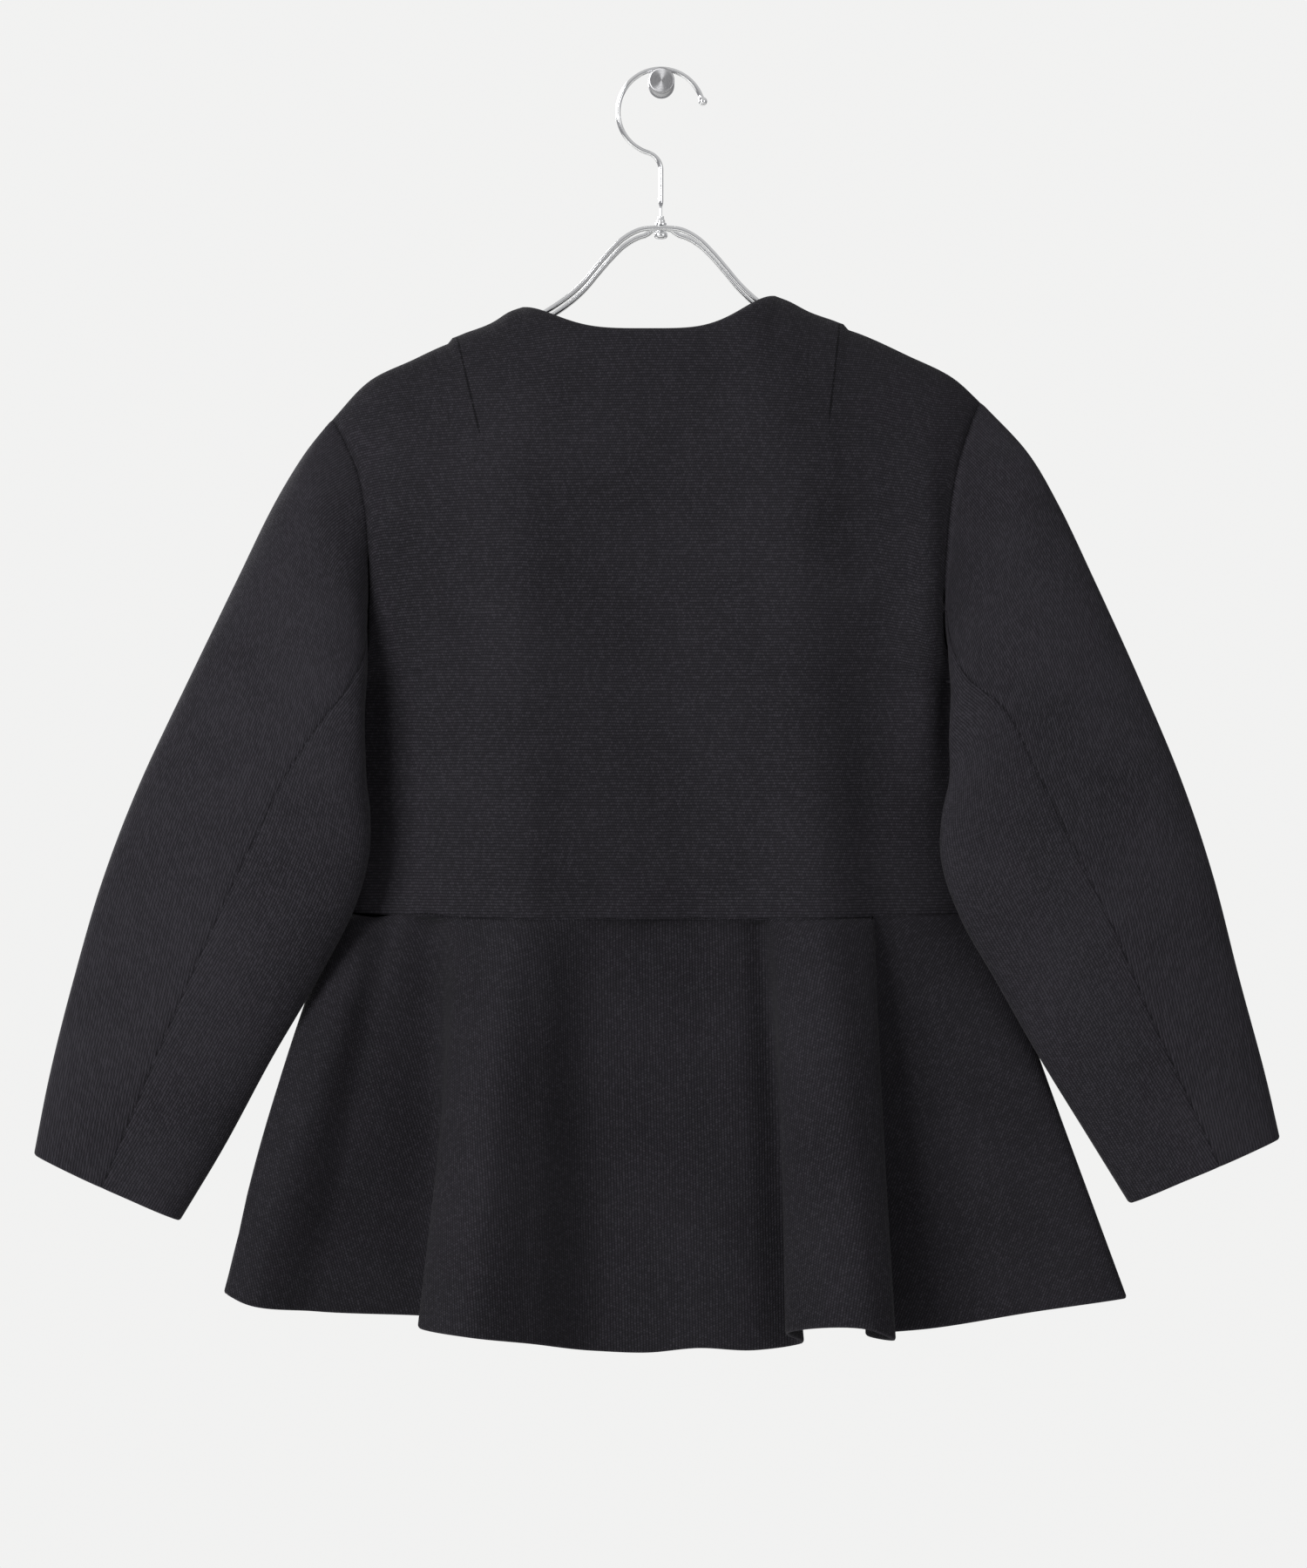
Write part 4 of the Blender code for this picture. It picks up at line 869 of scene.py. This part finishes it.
def knitMaterial():
    material, tree, shader = newMaterial("blackDoubleKnit")
    place = tree.nodes.new("ShaderNodeUVMap")
    place.uv_map = "knitPlace"
    parts = tree.nodes.new("ShaderNodeSeparateXYZ")
    tree.links.new(place.outputs["UV"], parts.inputs["Vector"])
    body = tree.nodes.new("ShaderNodeTexCoord").outputs["Object"]
    drift = noise(tree, body, *knit["waverNoise"])
    wobble = noise(tree, body, *knit["wriggleNoise"])
    waver = calc(tree, "MULTIPLY_ADD", drift, knit["waver"], parts.outputs["Y"])
    waver = calc(tree, "MULTIPLY_ADD", wobble, knit["wriggle"], waver)
    rowPlace = calc(tree, "DIVIDE", waver, knit["rowPitch"])
    row = calc(tree, "FLOOR", rowPlace)
    shifted = calc(tree, "MULTIPLY", calc(tree, "MODULO", row, 2.0), 0.5)   # every other row by half a loop
    loopPlace = calc(tree, "ADD", calc(tree, "DIVIDE", parts.outputs["X"], knit["loopPitch"]), shifted)
    loop = calc(tree, "FLOOR", loopPlace)
    rowHeight = calc(tree, "SINE", calc(tree, "MULTIPLY", calc(tree, "FRACT", rowPlace), math.pi))
    loopHeight = calc(tree, "SINE", calc(tree, "MULTIPLY", calc(tree, "FRACT", loopPlace), math.pi))
    loopRise = calc(tree, "MULTIPLY_ADD", loopHeight, knit["loopShare"], 1.0 - knit["loopShare"])
    height = calc(tree, "MULTIPLY", rowHeight, loopRise)
    which = tree.nodes.new("ShaderNodeCombineXYZ")
    tree.links.new(loop, which.inputs["X"])
    tree.links.new(row, which.inputs["Y"])
    chance = tree.nodes.new("ShaderNodeTexWhiteNoise")
    chance.noise_dimensions = "2D"
    tree.links.new(which.outputs["Vector"], chance.inputs["Vector"])
    speck = calc(tree, "POWER", chance.outputs["Value"], knit["speckPower"])
    fibre = noise(tree, body, *knit["fibreNoise"])
    cloud = noise(tree, body, *knit["cloudNoise"])
    loopTone = calc(tree, "MULTIPLY_ADD", speck, knit["speckLight"], knit["loopLight"])
    # painted shade: the knit's hollows darker and its raised loops lighter, from the stitch's height
    light = calc(tree, "MULTIPLY_ADD", height, knit["heightLight"], 1.0 - knit["heightLight"])
    light = calc(tree, "MULTIPLY", light, loopTone)
    light = calc(tree, "MULTIPLY_ADD", calc(tree, "SUBTRACT", cloud, 0.5), knit["cloudLight"], light)
    light = calc(tree, "MULTIPLY_ADD", calc(tree, "SUBTRACT", fibre, 0.5), knit["fibreLight"], light)
    # painted shade: a thin dark line in the groove along each seam
    seamEdge = calc(tree, "POWER", pointMark(tree, "sewnEdge"), knit["seamPower"])
    seamShade = calc(tree, "MULTIPLY", seamEdge, -knit["paintedSeamShade"])
    # painted shade: a thin dark line in each shoulder dart's groove, the same mark also deepens the bump
    fromDart = calc(tree, "ABSOLUTE", pointMark(tree, "dartPlace"))
    dartEdge = calc(tree, "DIVIDE", fromDart, knit["dartHalfWidth"])
    dartShade = calc(tree, "MINIMUM", calc(tree, "SUBTRACT", dartEdge, 1.0), 0.0)
    light = calc(tree, "MULTIPLY_ADD", dartShade, knit["paintedDartShade"], calc(tree, "ADD", light, seamShade))
    light = calc(tree, "MINIMUM", calc(tree, "MAXIMUM", light, 0.0), knit["mostLight"])
    # painted light and sheen: the sleeves painted lighter and the peplum darker
    light = calc(tree, "MULTIPLY", light, pointMark(tree, "paintedLightScale"))
    colour = blendColour(tree, light, knit["hollowShadeColour"], knit["loopColour"])
    rim = calc(tree, "MULTIPLY", calc(tree, "POWER", pointMark(tree, "cutEdge"), 2.0), fibre)
    tree.links.new(blendColour(tree, rim, colour, knit["edgeColour"]), shader.inputs["Base Color"])
    rough = calc(tree, "MULTIPLY_ADD", fibre, knit["fibreRoughness"], knit["roughness"])
    tree.links.new(rough, shader.inputs["Roughness"])
    shader.inputs["Sheen Weight"].default_value = knit["sheen"]
    shader.inputs["Sheen Roughness"].default_value = knit["sheenRoughness"]
    shader.inputs["Specular IOR Level"].default_value = knit["specular"]
    stitch = calc(tree, "MULTIPLY", height, loopTone)
    relief = calc(tree, "ADD", calc(tree, "MULTIPLY_ADD", fibre, knit["fibreRelief"], stitch), dartShade)
    bumped(tree, shader, relief, knit["bumpStrength"], knit["bumpDistance"])
    return material


metals = {
    "chromeColours": ((0.86, 0.87, 0.88, 1.0), (0.96, 0.96, 0.97, 1.0)),
    "chromeRoughness": 0.06, "smudgeRoughness": 0.08,
    "smudgeNoise": (90.0, 4.0, 0.5), "scratchNoise": (2600.0, 2.0, 0.6),   # scale, detail and roughness
    "scratchBump": (0.02, 0.0001), "ringBump": (0.05, 0.00003),   # strength, and depth in metres
    "steelColours": ((0.40, 0.40, 0.41, 1.0), (0.66, 0.66, 0.67, 1.0)),
    "steelRoughness": 0.23, "ringRoughness": 0.14,
    "steelGrain": 0.8,         # how far the turned finish stretches its highlights round the axis
    "turningPitch": 0.00032,   # metres between the lathe's rings on the peg
}


def chromeMaterial():
    material, tree, shader = newMaterial("polishedChrome")
    body = tree.nodes.new("ShaderNodeTexCoord").outputs["Object"]
    smudge = noise(tree, body, *metals["smudgeNoise"])
    scratch = noise(tree, body, *metals["scratchNoise"])
    tree.links.new(blendColour(tree, smudge, *metals["chromeColours"]), shader.inputs["Base Color"])
    rough = calc(tree, "MULTIPLY_ADD", smudge, metals["smudgeRoughness"], metals["chromeRoughness"])
    tree.links.new(rough, shader.inputs["Roughness"])
    shader.inputs["Metallic"].default_value = 1.0
    bumped(tree, shader, scratch, *metals["scratchBump"])
    return material


def steelMaterial():
    # turned steel: fine rings round the peg's axis
    material, tree, shader = newMaterial("turnedSteel")
    body = tree.nodes.new("ShaderNodeTexCoord").outputs["Object"]
    parts = tree.nodes.new("ShaderNodeSeparateXYZ")
    tree.links.new(body, parts.inputs["Vector"])
    squares = [calc(tree, "MULTIPLY", parts.outputs[way], parts.outputs[way]) for way in "XZ"]
    fromAxis = calc(tree, "SQRT", calc(tree, "ADD", *squares))
    cuts = tree.nodes.new("ShaderNodeTexNoise")   # each ring of the lathe is a little lighter or darker
    cuts.noise_dimensions = "1D"
    cuts.inputs["Scale"].default_value = 1.0
    feed(tree, cuts.inputs["W"], calc(tree, "DIVIDE", fromAxis, metals["turningPitch"]))
    rings = cuts.outputs["Fac"]
    tree.links.new(blendColour(tree, rings, *metals["steelColours"]), shader.inputs["Base Color"])
    rough = calc(tree, "MULTIPLY_ADD", rings, metals["ringRoughness"], metals["steelRoughness"])
    tree.links.new(rough, shader.inputs["Roughness"])
    shader.inputs["Metallic"].default_value = 1.0
    shader.inputs["Anisotropic"].default_value = metals["steelGrain"]
    grain = tree.nodes.new("ShaderNodeTangent")
    grain.direction_type = "RADIAL"
    grain.axis = "Y"
    tree.links.new(grain.outputs["Tangent"], shader.inputs["Tangent"])
    bumped(tree, shader, rings, *metals["ringBump"])
    return material


blackKnit, chrome, steel = knitMaterial(), chromeMaterial(), steelMaterial()
for piece in jacket.values():
    piece.data.materials.append(blackKnit)
print("materials made")

barPoint = namedtuple("barPoint", "name halfSpan z")
hanger = {
    "y": -20.5, "barWire": 3.0, "wireSides": 20, "barDrop": 12.5, "barStep": 2.2, "endSegments": 16,
    "spreadMiddle": 6.6, "spreadEnd": 9.5, "spreadFrom": 62.0, "spreadTo": 125.0, "twist": 0.12,
    "farDrop": 3.2, "farLevel": 4.0, "farFull": 10.0,   # the far run is level over the nut, then lower
    "entryOut": 6.0, "entryPoints": 4, "endSpan": {"left": -148.0, "right": 148.0},
    "arch": (
        barPoint("middle", 0.0, -83.8),
        barPoint("crown", 12.0, -84.8),
        barPoint("bend", 21.0, -89.6),
        barPoint("slopeHigh", 29.0, -97.2),
        barPoint("slopeMid", 36.5, -105.8),
        barPoint("slopeLow", 44.0, -114.8),
    ),
    "hookWire": 2.8, "hookRadius": 24.4, "hookX": -0.3, "hookZ": -17.25,
    "tipAngle": 20.0, "neckAngle": 253.0, "hookStep": 3.0, "neckSteps": 14,
    "shankEnd": -89.0, "shankSteps": 24,
    "ball": 5.0, "ballSteps": 14, "ballFrom": 8.0, "ballTo": 144.0,   # degrees, from its top to the wire
    "pinTop": -71.0, "pinFull": -69.2, "pinScale": 0.52,   # the shank necks down to a pin above the collar
}


def barLine():
    # the bar's middle line: the arch, then along under each shoulder seam
    half = [(point.halfSpan, point.z) for point in hanger["arch"]]
    ends = {}
    for side in sides:
        seam = np.array([(point.x, point.z) for point in bodice["shoulder"][side]])[::-1]
        start = seam[0, 0] + signOf[side] * hanger["entryOut"]
        stops = np.linspace(start, hanger["endSpan"][side], hanger["entryPoints"])
        order = np.argsort(seam[:, 0])
        ends[side] = list(zip(stops, np.interp(stops, seam[order, 0], seam[order, 1]) - hanger["barDrop"]))
    line = np.array(ends["left"][::-1] + [(-x, z) for x, z in reversed(half)] + half[1:] + ends["right"])
    along = chordLengths(line)
    return throughRows(along, line, np.linspace(0.0, along[-1], int(along[-1] / hanger["barStep"]) + 1))


def halfLoop(start, end, heading):
    # the round end of the bar, from one run to the other
    middle = (start + end) / 2.0
    radius = np.linalg.norm(end - start) / 2.0
    ahead = np.array([heading[0], 0.0, heading[1]]) * radius / np.linalg.norm(heading)
    turns = np.linspace(0.0, math.pi, hanger["endSegments"] + 1)[1:-1]
    return [middle + (start - middle) * math.cos(turn) + ahead * math.sin(turn) for turn in turns]


def barRoute():
    line = barLine()
    span = np.abs(line[:, 0])
    reach = (span - hanger["spreadFrom"]) / (hanger["spreadTo"] - hanger["spreadFrom"])
    gap = hanger["spreadMiddle"] + (hanger["spreadEnd"] - hanger["spreadMiddle"]) * np.clip(reach, 0.0, 1.0)
    halfGap = gap / 2.0
    shift = halfGap * hanger["twist"]
    near = np.column_stack([line[:, 0] - shift, hanger["y"] - halfGap, line[:, 1]])
    past = np.clip((span - hanger["farLevel"]) / (hanger["farFull"] - hanger["farLevel"]), 0.0, 1.0)
    drop = hanger["farDrop"] * past ** 2 * (3.0 - 2.0 * past)
    far = np.column_stack([line[:, 0] + shift, hanger["y"] + halfGap, line[:, 1] - drop])
    route = list(near) + halfLoop(near[-1], far[-1], line[-1] - line[-2])
    route += list(far[::-1]) + halfLoop(far[0], near[0], line[0] - line[1])
    return np.array(route), np.ones(len(route))


def hookRoute():
    # from the ball tip over the peg, round the neck and down the shank, with the wire's width at each point
    middle = (hanger["hookX"], hanger["hookZ"])
    degrees = np.arange(hanger["tipAngle"], hanger["neckAngle"], hanger["hookStep"])
    angles = np.radians(np.append(degrees, hanger["neckAngle"]))
    arc = np.column_stack([np.cos(angles), np.sin(angles)]) * hanger["hookRadius"] + middle
    slant = math.radians(hanger["neckAngle"] - 270.0)
    neckRadius = (hanger["hookX"] - arc[-1, 0]) / (math.sin(slant) + 1.0)
    steps = np.arange(1, hanger["neckSteps"] + 1)
    headings = slant + (-math.pi / 2.0 - slant) * steps / hanger["neckSteps"]
    neck = np.column_stack([arc[-1, 0] + neckRadius * (math.sin(slant) - np.sin(headings)),
                            arc[-1, 1] - neckRadius * (math.cos(slant) - np.cos(headings))])
    down = np.linspace(neck[-1, 1], hanger["shankEnd"], hanger["shankSteps"] + 1)[1:]
    route = np.concatenate([arc, neck, np.column_stack([np.full_like(down, hanger["hookX"]), down])])
    radius = hanger["ball"] / 2.0
    heading = unit(route[0] - route[1])
    turns = np.radians(np.linspace(hanger["ballFrom"], hanger["ballTo"], hanger["ballSteps"]))
    ball = route[0] + heading * radius * (1.0 + np.cos(turns))[:, None]
    narrow = np.clip((hanger["pinFull"] - route[1:, 1]) / (hanger["pinFull"] - hanger["pinTop"]), 0.0, 1.0)
    ballScale = radius * np.sin(turns) / (hanger["hookWire"] / 2.0)
    scale = np.concatenate([ballScale, 1.0 - (1.0 - hanger["pinScale"]) * narrow])
    flat = np.concatenate([ball, route[1:]])
    return np.column_stack([flat[:, 0], np.full(len(flat), hanger["y"]), flat[:, 1]]), scale


def wireTree():
    # sweeps a round section along a line of edges, scaled by the line's own width mark, into one real mesh
    tree = bpy.data.node_groups.new("drawnWire", "GeometryNodeTree")
    tree.interface.new_socket("Geometry", in_out="INPUT", socket_type="NodeSocketGeometry")
    identifiers = {}
    for label, kind in (("Radius", "Float"), ("Sides", "Int"), ("Material", "Material")):
        socket = tree.interface.new_socket(label, in_out="INPUT", socket_type="NodeSocket" + kind)
        identifiers[label] = socket.identifier
    tree.interface.new_socket("Geometry", in_out="OUTPUT", socket_type="NodeSocketGeometry")
    start = tree.nodes.new("NodeGroupInput")
    line = tree.nodes.new("GeometryNodeMeshToCurve")
    ring = tree.nodes.new("GeometryNodeCurvePrimitiveCircle")
    width = tree.nodes.new("GeometryNodeInputNamedAttribute")
    sweep = tree.nodes.new("GeometryNodeCurveToMesh")
    realize = tree.nodes.new("GeometryNodeRealizeInstances")
    smooth = tree.nodes.new("GeometryNodeSetShadeSmooth")
    paint = tree.nodes.new("GeometryNodeSetMaterial")
    output = tree.nodes.new("NodeGroupOutput")
    width.data_type = "FLOAT"
    width.inputs["Name"].default_value = "wireScale"
    sweep.inputs["Fill Caps"].default_value = True
    for source, label, target, socket in (
        (start, "Geometry", line, "Mesh"),
        (start, "Radius", ring, "Radius"),
        (start, "Sides", ring, "Resolution"),
        (line, "Curve", sweep, "Curve"),
        (ring, "Curve", sweep, "Profile Curve"),
        (width, "Attribute", sweep, "Scale"),
        (sweep, "Mesh", realize, "Geometry"),
        (realize, "Geometry", smooth, "Geometry"),
        (smooth, "Geometry", paint, "Geometry"),
        (start, "Material", paint, "Material"),
        (paint, "Geometry", output, "Geometry"),
    ):
        tree.links.new(source.outputs[label], target.inputs[socket])
    return tree, identifiers


def lineObject(name, points, closed, scale):
    # a line of edges, closed or open, with the wire's width at each point
    edges = [(spot, spot + 1) for spot in range(len(points) - 1)]
    if closed:
        edges.append((len(points) - 1, 0))
    mesh = bpy.data.meshes.new(name)
    mesh.from_pydata((points * mm).tolist(), edges, [])
    layer = mesh.attributes.new("wireScale", "FLOAT", "POINT")
    layer.data.foreach_set("value", scale.astype(np.float32))
    return placed(name, mesh)


def grown(piece, tree, identifiers, values):
    # runs the tree on the line and keeps the result as a plain mesh
    modifier = piece.modifiers.new("grow", "NODES")
    modifier.node_group = tree
    for label, value in values.items():
        modifier[identifiers[label]] = value
    evaluated = piece.evaluated_get(bpy.context.evaluated_depsgraph_get())
    mesh = bpy.data.meshes.new_from_object(evaluated)
    piece.modifiers.clear()
    piece.data = mesh
    return piece


def makeWires():
    tree, identifiers = wireTree()
    pieces = {}
    for name, (points, scale), closed, width in (
        ("hanger_bar", barRoute(), True, hanger["barWire"]),
        ("hanger_hook", hookRoute(), False, hanger["hookWire"]),
    ):
        piece = lineObject(name + "_wire", points, closed, scale)
        values = {"Radius": width / 2.0 * mm, "Sides": hanger["wireSides"], "Material": chrome}
        pieces[name] = grown(piece, tree, identifiers, values)
    return pieces


turnedParts = {   # lathe profiles: radius, then place along the axis
    "sides": 56, "sharpAngle": 40.0,
    "swivel_collar": (
        (1.7, -82.0), (2.7, -82.0), (3.1, -81.7), (3.2, -81.2), (3.1, -80.6), (2.5, -80.3),
        (2.3, -79.9), (2.4, -79.4), (2.2, -78.9), (1.75, -77.9), (1.72, -76.7),
    ),
    "swivel_nut": (
        (1.7, -89.4), (2.6, -89.4), (3.3, -89.0), (3.75, -88.2), (3.8, -87.3), (3.6, -86.4),
        (3.1, -85.9), (2.4, -85.6), (1.7, -85.6),
    ),
    "wall_peg": (
        (0.0, 0.0), (7.3, 0.0), (7.4, -0.1), (7.4, -14.8), (7.3, -15.0), (5.5, -16.9),
        (5.4, -17.1), (5.4, -23.3), (5.5, -23.5), (7.25, -24.4), (7.4, -24.6), (7.4, -27.2),
        (7.32, -27.5), (7.1, -27.8), (6.8, -27.95), (6.4, -28.0), (3.2, -28.0), (0.0, -28.0),
    ),
}


def turnedPiece(name, centre, axis, material):
    # the profile is closed on itself, or by poles on the axis
    profile = turnedParts[name]
    count = turnedParts["sides"]
    turns = 2.0 * math.pi * np.arange(count) / count
    points = []
    rings = []
    for radius, along in profile:
        rings.append([len(points) + step % (count if radius > 0.0 else 1) for step in range(count)])
        for turn in turns if radius > 0.0 else turns[:1]:
            a, b = radius * math.cos(turn), radius * math.sin(turn)
            points.append((np.array(centre) + ((a, along, b) if axis == "y" else (a, b, along))) * mm)
    pairs = list(zip(rings, rings[1:]))
    if profile[0][0] > 0.0:
        pairs.append((rings[-1], rings[0]))
    faces = []
    for low, high in pairs:
        for step in range(count):
            after = (step + 1) % count
            faces.append(list(dict.fromkeys([low[step], low[after], high[after], high[step]])))
    mesh = bpy.data.meshes.new(name + "_turned")
    mesh.from_pydata([tuple(point) for point in points], [], faces)
    mesh.shade_smooth()
    mesh.set_sharp_from_angle(angle=math.radians(turnedParts["sharpAngle"]))
    mesh.materials.append(material)
    return placed(name + "_turned", mesh)


metalwork = makeWires()
for name in ("swivel_collar", "swivel_nut"):
    metalwork[name] = turnedPiece(name, (hanger["hookX"], hanger["y"], 0.0), "z", chrome)
metalwork["wall_peg"] = turnedPiece("wall_peg", (0.0, 0.0, 0.0), "y", steel)
print("hanger and peg made")

for name, piece in jacket.items():
    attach(piece, "root")
    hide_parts(name)
for name, piece in metalwork.items():
    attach(piece, "root")
    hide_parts(name)
print("pieces on the frame")

studio = {
    "floorZ": -1.35, "floorRadius": 3.0, "floorSides": 72,
    "floorColour": (0.60, 0.60, 0.59, 1.0), "floorRoughness": 0.8,
    "aim": (0.0, -0.04, -0.42),
    "lights": (   # name, place and width in metres, power in watts
        ("key", (-2.6, -2.94, 0.85), 1.8, 160.0),
        ("fill", (2.2, -2.6, 0.1), 1.8, 15.0),
        ("behind", (-2.2, 2.9, 0.9), 1.8, 120.0),
    ),
    "backdropColour": (0.885, 0.885, 0.88, 1.0),   # what the camera sees past the jacket
    "ceilingColour": (0.55, 0.55, 0.55, 1.0), "lowColour": (0.24, 0.24, 0.25, 1.0),   # what lights it
    "lowBelow": -0.4, "ceilingAbove": 0.8,   # the upward share of a direction where each is reached
}


def makeStudio():
    radius = studio["floorRadius"]
    turns = 2.0 * math.pi * np.arange(studio["floorSides"]) / studio["floorSides"]
    rim = [(radius * math.cos(turn), radius * math.sin(turn), studio["floorZ"]) for turn in turns]
    mesh = bpy.data.meshes.new("paleFloor")
    mesh.from_pydata(rim, [], [list(range(len(rim)))])
    material, _, shader = newMaterial("palePaint")
    shader.inputs["Base Color"].default_value = studio["floorColour"]
    shader.inputs["Roughness"].default_value = studio["floorRoughness"]
    mesh.materials.append(material)
    floor = placed("paleFloor", mesh)
    for name, place, width, power in studio["lights"]:
        data = bpy.data.lights.new(name + "Light", "AREA")
        data.size = width
        data.energy = power
        light = placed(name + "Light", data)
        light.location = place
        light.rotation_euler = (Vector(studio["aim"]) - Vector(place)).to_track_quat("-Z", "Y").to_euler()
        light.visible_camera = False


def makeRoomLight():
    # a plain white backdrop all round, and a dimmer room for the soft light, brighter overhead
    world = bpy.data.worlds.new("softRoom")
    world.use_nodes = True
    tree = world.node_tree
    background = tree.nodes["Background"]
    parts = tree.nodes.new("ShaderNodeSeparateXYZ")
    tree.links.new(tree.nodes.new("ShaderNodeTexCoord").outputs["Generated"], parts.inputs["Vector"])
    share = tree.nodes.new("ShaderNodeMapRange")
    share.interpolation_type = "SMOOTHSTEP"
    share.inputs["From Min"].default_value = studio["lowBelow"]
    share.inputs["From Max"].default_value = studio["ceilingAbove"]
    tree.links.new(parts.outputs["Z"], share.inputs["Value"])
    room = blendColour(tree, share.outputs["Result"], studio["lowColour"], studio["ceilingColour"])
    straight = tree.nodes.new("ShaderNodeLightPath").outputs["Is Camera Ray"]
    tree.links.new(blendColour(tree, straight, room, studio["backdropColour"]), background.inputs["Color"])
    bpy.context.scene.world = world
    bpy.context.scene.view_settings.view_transform = "Standard"


makeStudio()
makeRoomLight()
print("studio lit")
